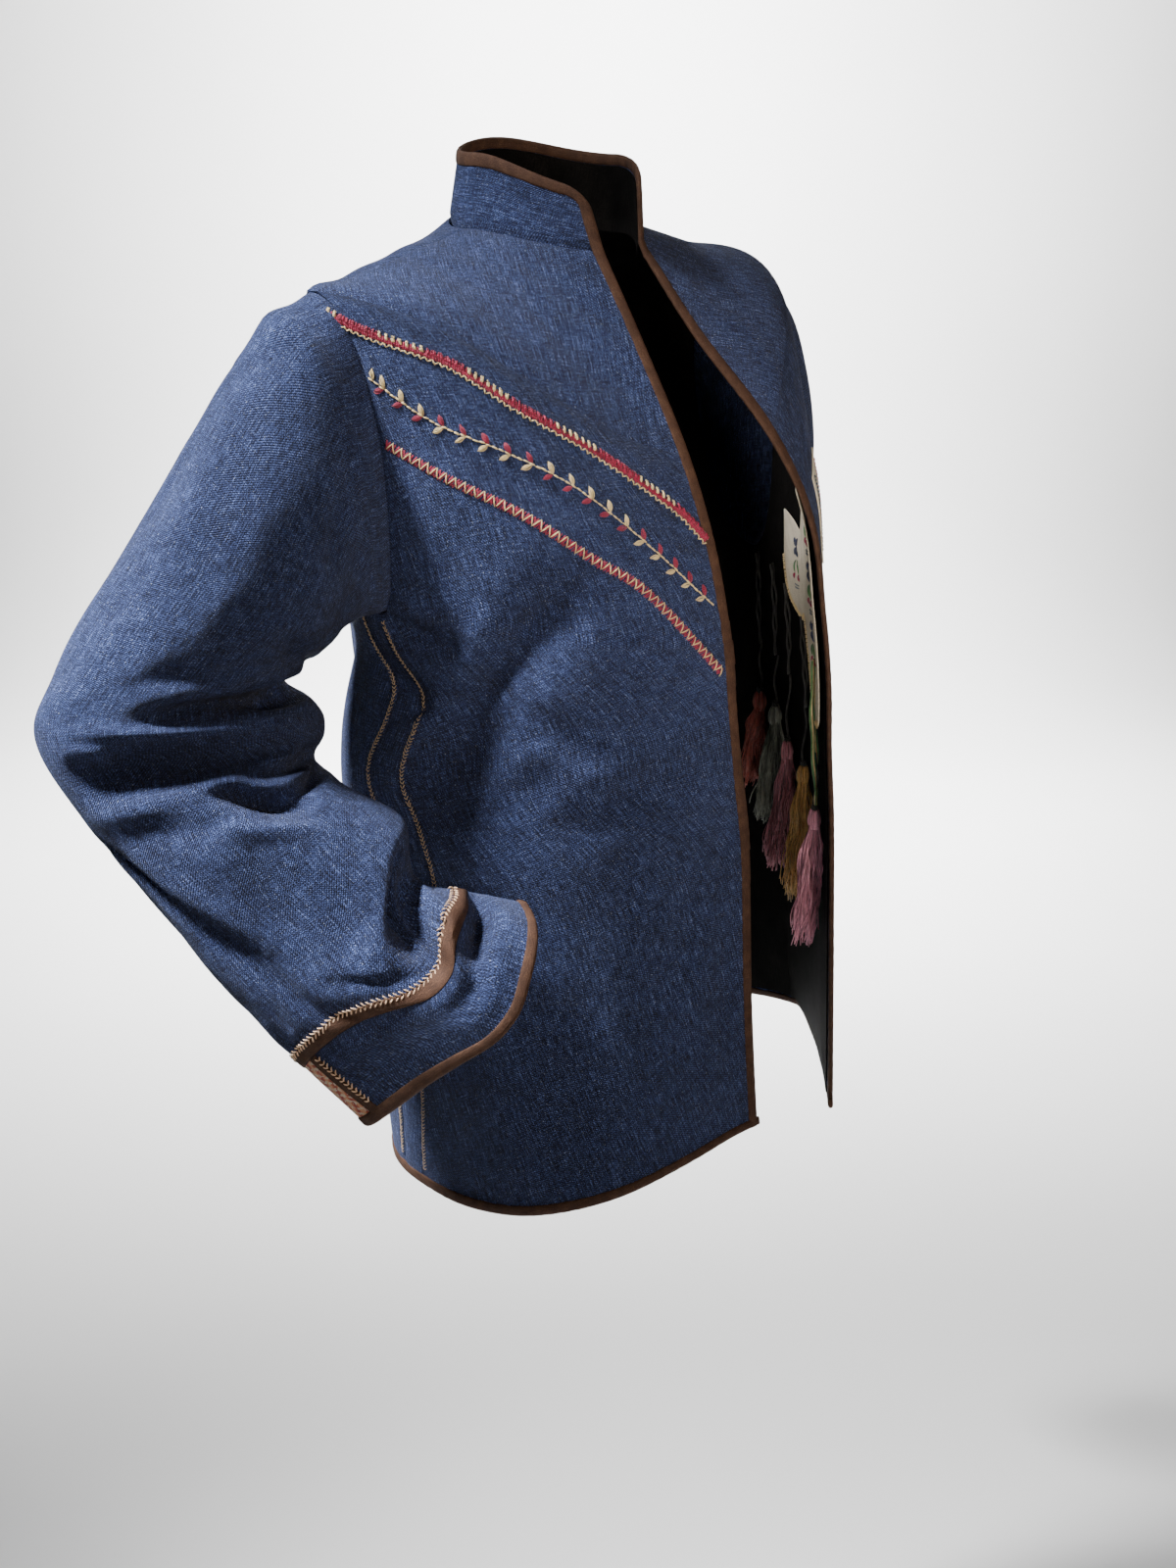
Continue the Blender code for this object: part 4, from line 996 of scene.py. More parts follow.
def cut(thing, points, closed=False):
    """Reckon the cross products of a cloth grid's cells; they are not kept, and the piece is returned as it
    was.
    """
    ring = np.concatenate([points, points[:, :1]], axis=1) if closed else points
    a = np.cross(ring[1:, :-1] - ring[:-1, :-1], ring[:-1, 1:] - ring[:-1, :-1])
    b = np.cross(ring[1:, 1:] - ring[:-1, 1:], ring[1:, 1:] - ring[1:, :-1])
    return thing


def hang(thing, held, rests_on=(), with_pieces=()):
    """Take a cloth piece and do nothing with it."""


# ---------------------------------------------------------------- body panels
SEAM_ANGLE = math.degrees(SEAM_GAP / 2 / BODY_RADIUS)
NECK_ANGLE = math.degrees(SEAM_GAP / 2 / NECK_RADIUS)
NECK_LEVEL = 0.012
EDGE_REACH = BINDING_WIDTH + SEAM_GAP
FRONT_LEAN = 22         # degrees that the fronts' weave leans, as the cloth is cut
PANEL_STEP = 0.0042     # metres between a panel's rows
EDGE_STEP = 0.004       # and along a binding
NEARLY = 1e-6


def panel_levels(step=PANEL_STEP):
    """Levels of a panel's rows from the neck to the hem, a step of cloth apart."""
    above = np.linspace(NECK_LEVEL, SHOULDER_LEVEL, round(0.135 / step))[:-1]
    beside = 3.0 - np.cos(math.pi * np.linspace(0, 1, round(0.165 / step)))
    below = np.linspace(UNDERARM_LEVEL, HEM_LEVEL - HEM_TRIM, round(0.41 / step))[1:]
    return above, beside, below


def inner_edge_angle(side, level, reach):
    """The angle that lies reach metres in from a front edge."""
    ring = body_ring(level)
    angle = edge_angle(ring, side)
    away = ring_point(ring, angle)
    radius = np.hypot(away[..., 0] - ring["centre_x"], away[..., 1] - ring["centre_y"])
    return angle + SIGN[side] * np.degrees(reach / radius)


def arm_angle(side, level, half):
    """Where a panel ends: shoulder seam, armhole edge or gore seam."""
    sign, away = SIGN[side], -1.0 if half == "front" else 1.0
    seam = mix(NECK_ANGLE, SEAM_ANGLE, np.minimum(level / SHOULDER_LEVEL, 1.0))
    share = np.arccos(np.clip(3.0 - level, -1.0, 1.0)) / math.pi
    shoulder = sign * (90.0 + away * seam)
    beside = np.array([armhole(side, f, half)[1] for f in share]) + sign * away * SEAM_ANGLE
    gore = sign * (body_ring(level)["gore_" + half] + away * SEAM_ANGLE)
    low = np.where(level < UNDERARM_LEVEL - NEARLY, beside, gore)
    return np.where(level <= SHOULDER_LEVEL, shoulder, low)


def panel_grid(levels, starts, ends, columns):
    """Levels and angles of a panel's grid between its two edges."""
    angle = starts[:, None] + (ends - starts)[:, None] * np.linspace(0, 1, columns)
    return np.broadcast_to(levels[:, None], angle.shape), angle


def body_panel(name, node, levels, starts, ends, columns, seams, lean=0.0):
    level, angle = panel_grid(levels, starts, ends, columns)
    normal = body_normal(level, angle)
    outer = seam_dip(body_point(level, angle), normal, seams)
    thing = dress(wall(name, outer, outer - normal * CLOTH, HEMP, lean=lean), "indigo_hemp", node)
    paint_crease_shade(thing, body_depth(level, angle))
    return cut(thing, outer)


def make_body():
    levels = np.concatenate(panel_levels())
    pieces = {}
    for side, columns in (("right", 56), ("left", 46)):
        start, end = inner_edge_angle(side, levels, EDGE_REACH), arm_angle(side, levels, "front")
        name = side + "_front_cloth"
        pieces[name] = body_panel(name, "front_" + side, levels, start, end, columns, ("end", "top"),
                                  FRONT_LEAN * SIGN[side])
    start, end = arm_angle("right", levels, "back"), 360.0 + arm_angle("left", levels, "back")
    pieces["back_cloth"] = body_panel("back_cloth", "back", levels, start, end, 84, ("start", "end", "top"))
    below = levels[levels >= UNDERARM_LEVEL - NEARLY]
    ring = body_ring(below)
    for side, sign in SIGN.items():
        start = sign * (ring["gore_front"] + SEAM_ANGLE)
        end = sign * (ring["gore_back"] - SEAM_ANGLE)
        name = side + "_gore_cloth"
        pieces[name] = body_panel(name, "gore_" + side, below, start, end, 11, ("start", "end", "top"))
    return pieces


# ---------------------------------------------------------------- collar
def collar_end_angle(side, share, retreat):
    ring = collar_ring(share)
    angle = edge_angle(ring, side)
    away = ring_point(ring, angle)
    return angle + SIGN[side] * np.degrees(retreat / np.hypot(away[..., 0], away[..., 1]))


def make_collar():
    top = COLLAR_HEIGHT - EDGE_REACH
    radius = COLLAR_CORNER - EDGE_REACH
    heights = np.concatenate([np.linspace(.0012, top - radius, 9)[:-1],
                              top - radius + radius * np.sin(np.linspace(0, math.pi / 2, 7))])
    up = np.maximum(heights - (top - radius), 0.0)
    retreat = EDGE_REACH + radius - np.sqrt(np.maximum(radius**2 - up**2, 0.0))
    share = heights / COLLAR_HEIGHT
    start = collar_end_angle("right", share, retreat)
    end = 360.0 + collar_end_angle("left", share, retreat)
    height, angle = panel_grid(share, start, end, 110)
    points, normal = collar_point(height, angle), collar_normal(height, angle)
    outer = seam_dip(points, normal, ("top",), width=0.0014, depth=0.0014)
    below = np.array([0, 0, .0026])
    inner = points - normal * COLLAR_CLOTH
    inner = np.concatenate([inner[:1] - below, inner])
    outer = np.concatenate([outer[:1] - below - normal[:1] * .0004, outer])
    collar = dress(wall("collar_cloth", outer, inner, HEMP, turned=True), "indigo_hemp", "collar")
    paint_crease_shade(collar, outer[..., 0] * 0)
    lift = COLLAR_CLOTH + SEAM_GAP
    # the facing's lower edge is turned in under the neck seam
    turned_in = points[:1] - np.array([0, 0, .0085]) - normal[:1] * .0016
    points, normal = np.concatenate([turned_in, points]), np.concatenate([normal[:1], normal])
    facing = wall("collar_lining_cloth", points - normal * lift, points - normal * (lift + LINING), BLACK)
    dress(facing, "black_lining", "collar_facing")
    return cut(collar, outer), cut(facing, points)


# ---------------------------------------------------------------- bindings
def edge_line(reach):
    """The open edge, reach metres in, from the right hem over the collar to the left hem."""
    sides = []
    for side in SIGN:
        levels = np.concatenate(panel_levels(EDGE_STEP))[::-1]
        levels = np.concatenate([[HEM_LEVEL - 0.006], levels[:-1]])
        angle = inner_edge_angle(side, levels, reach)
        body = body_point(levels, angle), body_normal(levels, angle)
        top, radius = COLLAR_HEIGHT - reach, COLLAR_CORNER - reach
        turn = np.linspace(0, math.pi / 2, 10)
        heights = np.concatenate([np.linspace(.003, .024, 6), top - radius + radius * np.sin(turn)])
        retreat = np.concatenate([np.full(6, reach), reach + radius * (1 - np.cos(turn))])
        angle = collar_end_angle(side, heights / COLLAR_HEIGHT, retreat)
        collar = collar_point(heights / COLLAR_HEIGHT, angle), collar_normal(heights / COLLAR_HEIGHT, angle)
        sides.append([np.concatenate(pair) for pair in zip(body, collar)])
    share = (COLLAR_HEIGHT - reach) / COLLAR_HEIGHT
    start = collar_end_angle("right", share, COLLAR_CORNER)
    end = 360.0 + collar_end_angle("left", share, COLLAR_CORNER)
    angle = np.linspace(start, end, 92)[1:-1]
    over = collar_point(np.full(90, share), angle), collar_normal(np.full(90, share), angle)
    return [np.concatenate([sides[0][i], over[i], sides[1][i][::-1]]) for i in (0, 1)]


def hem_line(reach):
    """The hem, reach metres up, from the right front edge round to the left."""
    level = HEM_LEVEL - reach / HEM_STEP
    start, end = edge_angle(body_ring(level), "right"), 360.0 + edge_angle(body_ring(level), "left")
    angle = np.linspace(start - 0.6, end + 0.6, round(1.02 / EDGE_STEP))
    level = np.full(angle.shape, level)
    return body_point(level, angle), body_normal(level, angle)


# A folded binding's section, from its sewn edge outside, round the fold and back inside:
# metres in from the garment's edge and out from the cloth's face.
BINDING_FOLD = (
    (.0088, -.0004), (.0086, .0004), (.0078, .0009), (.0060, .0012), (.0040, .0013), (.0020, .0012),
    (.0006, .0006), (.0000, -.0006), (.0005, -.0019), (.0020, -.0026), (.0045, -.0028), (.0070, -.0027),
    (.0078, -.0022), (.0080, -.0012),
)


PUCKER_PITCH = 0.0115    # metres between a binding's puckers
SCALLOP = 0.00028        # how far its sewn edge wanders


def loft(name, grid, material, looped=False):
    """A closed tube through a grid whose rows are rings; looped, its ends meet too."""
    rows, sides = grid.shape[:2]
    path = np.concatenate([grid, grid[:1]], axis=0) if looped else grid
    down = spans(path, 0)[:, :1] + np.zeros((len(path), sides + 1))
    around = spans(np.concatenate([path, path[:, :1]], axis=1), 1)
    i, j = np.mgrid[0:len(path) - 1, 0:sides]
    i, j = i.ravel(), j.ravel()
    corners_i, corners_j = np.stack([i, i, i + 1, i + 1], axis=1), np.stack([j, j + 1, j + 1, j], axis=1)
    faces = [(corners_i % rows) * sides + corners_j % sides]
    sheets = [np.stack([around[corners_i, corners_j], down[corners_i, corners_j]], axis=-1)]
    if not looped:
        faces.append(np.stack([np.arange(sides)[::-1], (rows - 1) * sides + np.arange(sides)]))
        sheets.append(np.zeros((2, sides, 2)))
    first = grid[0]
    inward = first.mean(axis=0) - first[0]
    if np.dot(np.cross(first[1] - first[0], grid[1, 0] - first[0]), inward) > 0:
        faces, sheets = [face[:, ::-1] for face in faces], [sheet[:, ::-1] for sheet in sheets]
    return mesh_object(name, grid.reshape(-1, 3), faces, sheets, material)


def pucker(length, pitch, seed):
    """Uneven small waves along a sewn edge, between -1 and 1."""
    return (np.sin(length * 2 * math.pi / pitch + 1.4 * np.sin(length * 31 + seed))
            * (0.6 + 0.4 * np.sin(length * 57 + 2 * seed)))


def binding(name, line, slot, node, seed):
    """A folded binding swept along line(reach), puckered where it is sewn down."""
    rings = []
    for reach, lift in BINDING_FOLD:
        points, normals = line(reach)
        length = spans(points[None], 1)[0]
        sewn = np.clip(reach / BINDING_FOLD[0][0], 0, 1) ** 3
        lifted = lift + pucker(length, PUCKER_PITCH, seed) * .00022 * np.sign(lift + .0006)
        rings.append(points + normals * lifted[:, None])
        if sewn > 0.3:
            across = unit(points - line(reach - .0008)[0])
            rings[-1] += across * (pucker(length, .0036, seed + 2.0) * SCALLOP * sewn)[:, None]
    return dress(loft(name, np.stack(rings, axis=1), BROWN), slot, node)


# ---------------------------------------------------------------- sleeves and cuffs
def sleeve_cloth(sleeve):
    side = sleeve.side
    length = np.linalg.norm(sleeve.smooth(sleeve.strip, 0.0) - sleeve.smooth(sleeve.strip - 1, 0.0))
    rows = round(sleeve.strip * FOLD_STATION * 1.12 / PANEL_STEP)
    station = np.linspace(0.0, sleeve.strip, rows)[:, None]
    k = np.linspace(RING / 2, RING * 1.5, round(FOLD_ROUND / PANEL_STEP) + 1)[None, :-1]
    station, k = np.broadcast_arrays(station, k)
    normal = sleeve.normal(station, k)
    outer = sleeve.point(station, k)
    outer = outer - normal * (.0009 * np.exp(-((station * FOLD_STATION / .0024) ** 2)))[..., None]
    name = side + "_sleeve_cloth"
    thing = wall(name, outer, outer - normal * CLOTH, HEMP, closed=True)
    dress(thing, "indigo_hemp", "sleeve_" + side)
    paint_crease_shade(thing, sleeve.depth(station, k))
    cut(thing, outer, closed=True)
    tape_start = sleeve.strip - STRIP_WIDTH / length
    tape = tape_band(side + "_sleeve_tape", sleeve, tape_start, sleeve.strip, "sleeve_strip_" + side)
    return thing, tape


def tape_band(name, sleeve, start, end, node):
    """A flat tape sewn round the sleeve, its edges drawn down to the cloth."""
    k = np.linspace(RING / 2, RING * 1.5, 121)[None, :-1]
    shape = np.array([0.0, .12, .30, .50, .70, .88, 1.0])
    station, k = np.broadcast_arrays(mix(start, end, shape)[:, None], k)
    crown = np.array([.0005, .0011, .0013, .0013, .0013, .0011, .0005])[:, None, None]
    normal = sleeve.normal(station, k)
    outer = sleeve.point(station, k) + normal * crown
    thing = wall(name, outer, outer - normal * .0009, BROWN, closed=True, turned=True)
    return dress(thing, "brown_binding", node)


PANEL_FRONT = 1.75              # ring places of the cuff panel's two edges
PANEL_BACK = RING - 2.6
CUFF_TAPE = 0.45
CUFF_SEAM = 0.009


def make_cuff(sleeve):
    side = sleeve.side
    length = np.linalg.norm(sleeve.smooth(sleeve.last, 0.0) - sleeve.smooth(sleeve.strip, 0.0))
    first, last = sleeve.strip + .0006 / length, sleeve.last - EDGE_REACH / length
    stations = np.linspace(first, last, 15)[:, None]

    def patch(name, start, end, count, material, slot, node, lift=0.0, thick=CLOTH):
        station, k = np.broadcast_arrays(stations, np.linspace(start, end, count)[None])
        normal = sleeve.normal(station, k)
        outer = sleeve.point(station, k) + normal * lift
        thing = dress(wall(name, outer, outer - normal * thick, material), slot, node)
        if material is HEMP:
            paint_crease_shade(thing, sleeve.depth(station, k))
        return cut(thing, outer)

    band = patch(side + "_cuff_cloth", PANEL_FRONT + CUFF_SEAM, PANEL_BACK - CUFF_SEAM, 80, HEMP,
                 "indigo_hemp", "cuff_band_" + side)
    panel = patch(side + "_cuff_stitched_panel", PANEL_BACK - RING + CUFF_SEAM, PANEL_FRONT - CUFF_SEAM, 24,
                  CUFF_STITCHING, "red_embroidery", "cuff_panel_" + side)
    tapes = []
    for name, start, end in (("front", PANEL_FRONT + CUFF_SEAM, PANEL_FRONT + CUFF_TAPE),
                             ("back", PANEL_BACK - CUFF_TAPE, PANEL_BACK - CUFF_SEAM)):
        tapes.append(patch("%s_cuff_tape_%s" % (side, name), start, end, 7, BROWN, "brown_binding",
                           "cuff_strip_%s_%s" % (name, side), lift=TAPE + SEAM_GAP, thick=TAPE))

    def cuff_line(reach):
        k = np.linspace(RING / 2, RING * 1.5, 121)
        station = np.full(k.shape, sleeve.last - reach / length)
        return sleeve.point(station, k), sleeve.normal(station, k)

    rings = []
    for reach, lift in BINDING_FOLD:
        points, normals = cuff_line(reach)
        around = spans(points[None], 1)[0]
        lifted = lift + pucker(around, PUCKER_PITCH, 3.0) * .0002 * np.sign(lift + .0006)
        lifted[-1] = lifted[0]
        rings.append(points + normals * lifted[:, None])
    grid = np.stack(rings, axis=1)[:-1]
    edge = dress(loft(side + "_cuff_edge", grid, BROWN, looped=True), "brown_binding", "cuff_binding_" + side)
    return band, panel, tapes, edge


# ---------------------------------------------------------------- lining
def lining_arm(side, level, half):
    """The lining's side seam runs where the gore's front edge is."""
    sign, away = SIGN[side], -1.0 if half == "front" else 1.0
    angle = arm_angle(side, level, half)
    if half == "back":
        share = np.arccos(np.clip(3.0 - level, -1.0, 1.0)) / math.pi
        under = body_ring(UNDERARM_LEVEL)
        plain = np.array([armhole(side, f, "back")[1] for f in share])
        shifted = plain - sign * (under["gore_back"] - under["gore_front"]) * share**2
        angle = np.where(level > SHOULDER_LEVEL, shifted, angle)
    seam = sign * (body_ring(level)["gore_front"] + away * SEAM_ANGLE)
    return np.where(level > UNDERARM_LEVEL - NEARLY, seam, angle)


def make_lining():
    above, beside, below = panel_levels(0.010)
    levels = np.concatenate([above, beside, below])
    levels[-1] -= LINING_SHORT / HEM_STEP
    edges = {
        "right": (inner_edge_angle("right", levels, EDGE_REACH), lining_arm("right", levels, "front"), 24),
        "left": (inner_edge_angle("left", levels, EDGE_REACH), lining_arm("left", levels, "front"), 24),
        "back": (lining_arm("right", levels, "back"), 360.0 + lining_arm("left", levels, "back"), 40),
    }
    made = []
    for part, (start, end, columns) in edges.items():
        level, angle = panel_grid(levels, start, end, columns)
        outer, normal = lining_point(level, angle), body_normal(level, angle)
        thing = wall(part + "_lining_cloth", outer, outer - normal * LINING, BLACK)
        made.append(cut(dress(thing, "black_lining", "lining_" + part), outer))
    return made


# ---------------------------------------------------------------- needlework
class Trail:
    """A line over a surface, on which stitches lie so far along and across."""

    def __init__(self, point, normal, first, second):
        """first and second are the surface's two coordinates, close together."""
        self.point, self.normal = point, normal
        self.first, self.second = np.asarray(first, float), np.asarray(second, float)
        points = point(self.first, self.second)
        self.length = spans(points[None], 1)[0]
        self.run = unit(np.gradient(points, axis=0))
        self.total = self.length[-1]

    def at(self, along_it, across, lift=0.0):
        """Points so far along, to the left of the way, and above the cloth."""
        along_it, across = np.broadcast_arrays(np.asarray(along_it, float), np.asarray(across, float))
        a, b = np.interp(along_it, self.length, self.first), np.interp(along_it, self.length, self.second)
        run = np.stack([np.interp(along_it, self.length, self.run[:, i]) for i in range(3)], axis=-1)
        side = np.cross(self.normal(a, b), unit(run)) * across[..., None]
        near = 0.02
        da = (self.point(a + near, b) - self.point(a - near, b)) / (2 * near)
        db = (self.point(a, b + near) - self.point(a, b - near)) / (2 * near)
        aa, bb, ab = (da * da).sum(-1), (db * db).sum(-1), (da * db).sum(-1)
        sa, sb = (da * side).sum(-1), (db * side).sum(-1)
        scale = aa * bb - ab * ab
        a, b = a + (bb * sa - ab * sb) / scale, b + (aa * sb - ab * sa) / scale
        return self.point(a, b) + self.normal(a, b) * np.asarray(lift)[..., None]


class Needle:
    """Gathers stitches by thread and makes one piece of each."""

    def __init__(self, trail, seed):
        self.trail = trail
        self.random = np.random.default_rng(seed)
        self.sewn = {}

    def sew(self, thread, starts, ends, thick, rise=.0009, bow=0.0, even=.00022):
        """Straight stitches between places (along, across), thick at the middle, arched and bowed."""
        starts, ends = np.atleast_2d(starts).astype(float), np.atleast_2d(ends).astype(float)
        starts = starts + self.random.normal(0, even, starts.shape)
        ends = ends + self.random.normal(0, even, ends.shape)
        t = np.linspace(0, 1, 6)[None, :, None]
        flat = starts[:, None] * (1 - t) + ends[:, None] * t
        run = ends - starts
        sideways = unit(np.stack([-run[:, 1], run[:, 0]], axis=1))[:, None]
        bow = np.broadcast_to(bow, len(starts))[:, None, None]
        flat = flat + sideways * bow * np.sin(math.pi * t)
        lift = -.0002 + rise * np.sin(math.pi * t[..., 0]) ** 0.6
        centres = self.trail.at(flat[..., 0], flat[..., 1], np.broadcast_to(lift, flat.shape[:2]))
        thick = np.broadcast_to(thick, len(starts))[:, None] * self.random.normal(1, .07, (len(starts), 1))
        radii = thick / 2 * (.45 + .55 * np.sin(math.pi * t[..., 0]) ** 0.5)
        self.sewn.setdefault(thread, []).append((centres, radii))

    def leaf(self, thread, base, tip, width, strands=5):
        """A filled leaf of strands laid side by side from its stalk to its tip."""
        base, tip = np.atleast_2d(base).astype(float), np.atleast_2d(tip).astype(float)
        for share in np.linspace(-1, 1, strands):
            rise = .0013 - .0004 * abs(share)
            self.sew(thread, base, tip, .00085, rise, bow=share * width / 2, even=.00025)

    def finish(self, name):
        made = []
        for thread, groups in self.sewn.items():
            centres = np.concatenate([centre for centre, _ in groups])
            radii = np.concatenate([radius for _, radius in groups])
            thing = tube("%s_%s" % (name, thread), centres, radii, THREADS[thread], sides=5, twist=0.2)
            made.append(dress(thing, "red_embroidery" if thread == "red" else "cream_embroidery"))
        return made


def places(s, across=0.0):
    """Places so far along a trail, and all so far to its left."""
    return np.stack([s, s * 0 + across], axis=1)


def body_trail(path, count=500):
    """A trail through (angle, height) places on the body."""
    place = np.linspace(0, len(path) - 1, count)
    angle, height = along([p[0] for p in path], place), along([p[1] for p in path], place)
    return Trail(body_point, body_normal, level_at(angle, height), angle)


# Colours of the upper row's blocks and how many tufts each has, from the shoulder.
TUFT_BLOCKS = (("cream", 2), ("red", 6), ("cream", 7), ("red", 6), ("cream", 7), ("red", 7), ("cream", 7),
               ("red", 7), ("cream", 7), ("red", 7), ("cream", 5), ("red", 6), ("cream", 6), ("red", 6),
               ("cream", 6), ("red", 6))


def sew_row_one():
    trail = body_trail(ROW_ONE)
    needle = Needle(trail, 11)
    pitch = .0049
    start = .004
    for thread, count in TUFT_BLOCKS:
        s = start + pitch * np.arange(count)
        s = s[s < trail.total - .003]
        if len(s):
            for offset in (-.0006, .0006):
                foot = places(s + offset + .0004, -.0004)
                head = places(s + offset - .0016, .0036)
                needle.sew(thread, foot, head, .0018, rise=.0017, bow=offset * .5)
            if thread == "red":
                foot, head = places(s + .0028, -.0004), places(s + .0010, .0034)
                needle.sew(thread, foot, head, .0020, rise=.0013)
        start += pitch * count
    s = np.arange(.003, trail.total - .002, pitch / 3)
    needle.sew("red", places(s - .0006, .0020), places(s + .0014, -.0026), .0018,
               rise=.0010)
    s = np.arange(.003, trail.total - .004, pitch)
    low, high = places(s, -.0021), places(s + pitch * .5, -.0044)
    needle.sew("cream", low, high, .0011, rise=.0013)
    needle.sew("cream", high, places(s + pitch, -.0021), .0011, rise=.0013)
    return needle.finish("upper_row")


def sew_row_two():
    trail = body_trail(ROW_TWO)
    needle = Needle(trail, 22)
    pairs = 18
    step = (trail.total - .012) / pairs
    s = np.arange(.001, trail.total - .005, .0045)
    needle.sew("cream", places(s), places(s + .0043), .0014, rise=.0009)
    nodes = .014 + step * np.arange(pairs)
    needle.leaf("cream", (.004, .0004), (-.001, .0066), .0028)
    for first, last, upper, lower in ((0, 3, "cream", "red"), (3, 8, "red", "cream"),
                                      (8, 13, "cream", "red"), (13, 18, "red", "cream")):
        n = nodes[first:last]
        needle.leaf(upper, places(n, .0004), places(n - .0066, .0060), .0030)
        needle.leaf(lower, places(n, -.0004), places(n - .0052, -.0060), .0030)
    return needle.finish("vine_row")


def sew_row_three():
    trail = body_trail(ROW_THREE)
    needle = Needle(trail, 33)
    pitch = .0070
    s = np.arange(.002, trail.total - .004, pitch / 3)
    needle.sew("red", places(s + .0016, .0034), places(s - .0006, -.0034),
               .0015, rise=.0007)
    s = s[::2]
    needle.sew("red", places(s - .0010, .0034), places(s + .0016, -.0034),
               .0014, rise=.0010)
    s = np.arange(.002, trail.total - pitch, pitch)
    low, high = places(s, -.0034), places(s + pitch / 2, .0036)
    needle.sew("cream", low, high, .0010, rise=.0016)
    needle.sew("cream", high, low + (pitch, 0), .0010, rise=.0016)
    return needle.finish("lower_row")


def feather(trail, name, thread, pitch=.0029, width=.0020, thick=.0008, seed=44, reach=.0024):
    """Feather stitch: slanting arms to both sides of a line."""
    needle = Needle(trail, seed)
    s = np.arange(.003, trail.total - .002, pitch)
    for sign in (1.0, -1.0):
        needle.sew(thread, places(s), places(s - reach, sign * width),
                   thick, rise=.0007, even=.00025)
    return needle.finish(name)


def sleeve_trail(sleeve, station, k, lift):
    """A trail over the sleeve through (station, ring place) pairs, lifted off its cloth."""
    def point(a, b):
        return sleeve.point(a, b) + sleeve.normal(a, b) * lift
    return Trail(point, sleeve.normal, station, k)


def gore_trail(side, half, count=240):
    """Just outside a gore seam, on the front or back cloth."""
    levels = np.linspace(UNDERARM_LEVEL + .05, HEM_LEVEL - .09, count)
    away = -1.0 if half == "front" else 1.0
    angle = SIGN[side] * (body_ring(levels)["gore_" + half] + away * .7)
    return Trail(body_point, body_normal, levels, angle)

# ---------------------------------------------------------------- inner panel
def inner_panel_point(level, angle):
    return lining_point(level, angle) - body_normal(level, angle) * (LINING + INNER_PANEL_CLEAR)


def make_inner_panel():
    """Two cream lobes behind the left edge, worked with plain traditional motifs."""
    last = len(INNER_PANEL_EDGE) - 1
    columns = np.linspace(0, last, 65)
    angles = along([edge[0] for edge in INNER_PANEL_EDGE], columns)
    drops = along([edge[1] for edge in INNER_PANEL_EDGE], columns)
    down = np.linspace(0, 1, 50)[:, None]
    tops = INNER_PANEL_TOP + INNER_PANEL_SLANT * ease((-44 - angles) / 12)
    level = tops[None] + (drops - tops)[None] * down
    angle = np.broadcast_to(angles[None], level.shape)
    points, normal = inner_panel_point(level, angle), body_normal(level, angle)
    panel = wall("inner_cream_panel", points, points - normal * TAPE, CREAM_CLOTH)
    cut(dress(panel, "cream_embroidery", "inner_panel"), points)

    def inside(a, b):
        return inner_panel_point(a, b) - body_normal(a, b) * TAPE

    def inward(a, b):
        return -body_normal(a, b)

    needle_pieces = []
    # motifs down each lobe: angle of their line, first and last level
    for number, (middle, first, end) in enumerate(((-40.5, 2.95, 5.35), (-58.5, 3.66, 4.30))):
        levels = np.linspace(first, end, 120)
        needle = Needle(Trail(inside, inward, levels, np.full(120, float(middle))), 60 + number)
        total = needle.trail.total
        n = np.arange(.014 - .004 * number, total - .010, .046)
        for turn in (30, 150, 215, 325):
            way = np.array([math.cos(math.radians(turn)), math.sin(math.radians(turn))]) * .0085
            needle.leaf("navy", places(n), places(n + way[0], way[1]), .0036, 6)
        n = n + .021
        n = n[n < total - .006]
        for sign in (1, -1):
            needle.sew("green", places(n - .011, sign * .001),
                       places(n, sign * .005), .0013, bow=sign * .0018)
            needle.leaf("red", places(n, sign * .005),
                        places(n + .0050, sign * .0075), .0032, 4)
            needle.sew("grey", places(n + .010 + sign * .0012, -.006),
                       places(n + .010 + sign * .0012, .006), .0012)
        needle_pieces += needle.finish("inner_band_%d" % number)
    # an overcast edge along both lobes
    k = np.linspace(0, last, 300)
    angle = along([edge[0] for edge in INNER_PANEL_EDGE], k)
    level = along([edge[1] for edge in INNER_PANEL_EDGE], k) - .012
    needle = Needle(Trail(inside, inward, level, angle), 71)
    s = np.arange(.001, needle.trail.total - .002, .0016)
    needle.sew("cream", places(s, .0022), places(s + .0006, -.0010), .0011)
    needle_pieces += needle.finish("inner_panel_edge")
    return panel, needle_pieces


def make_outer_panel():
    """A narrow cream panel sewn outside on the left front; its fuzzy raw edge is not made."""
    levels, angles = np.linspace(*OUTER_PANEL_LEVELS, 40), np.linspace(*OUTER_PANEL_ANGLES, 14)
    level, angle = np.meshgrid(levels, angles, indexing="ij")
    normal = body_normal(level, angle)
    points = body_point(level, angle) + normal * (TAPE + SEAM_GAP)
    panel = wall("outer_cream_panel", points, points - normal * TAPE, CREAM_CLOTH)
    cut(dress(panel, "cream_embroidery", "outer_panel"), points)

    def face(a, b):
        return body_point(a, b) + body_normal(a, b) * (TAPE + SEAM_GAP)

    made = []
    low, high = OUTER_PANEL_LEVELS
    for number, a in enumerate((-43, -48)):
        trail = Trail(face, body_normal, np.linspace(low + .03, high - .03, 120), np.full(120, float(a)))
        made += feather(trail, "outer_panel_stitches_%d" % number, ("navy", "red")[number], seed=80 + number)
    return panel, made


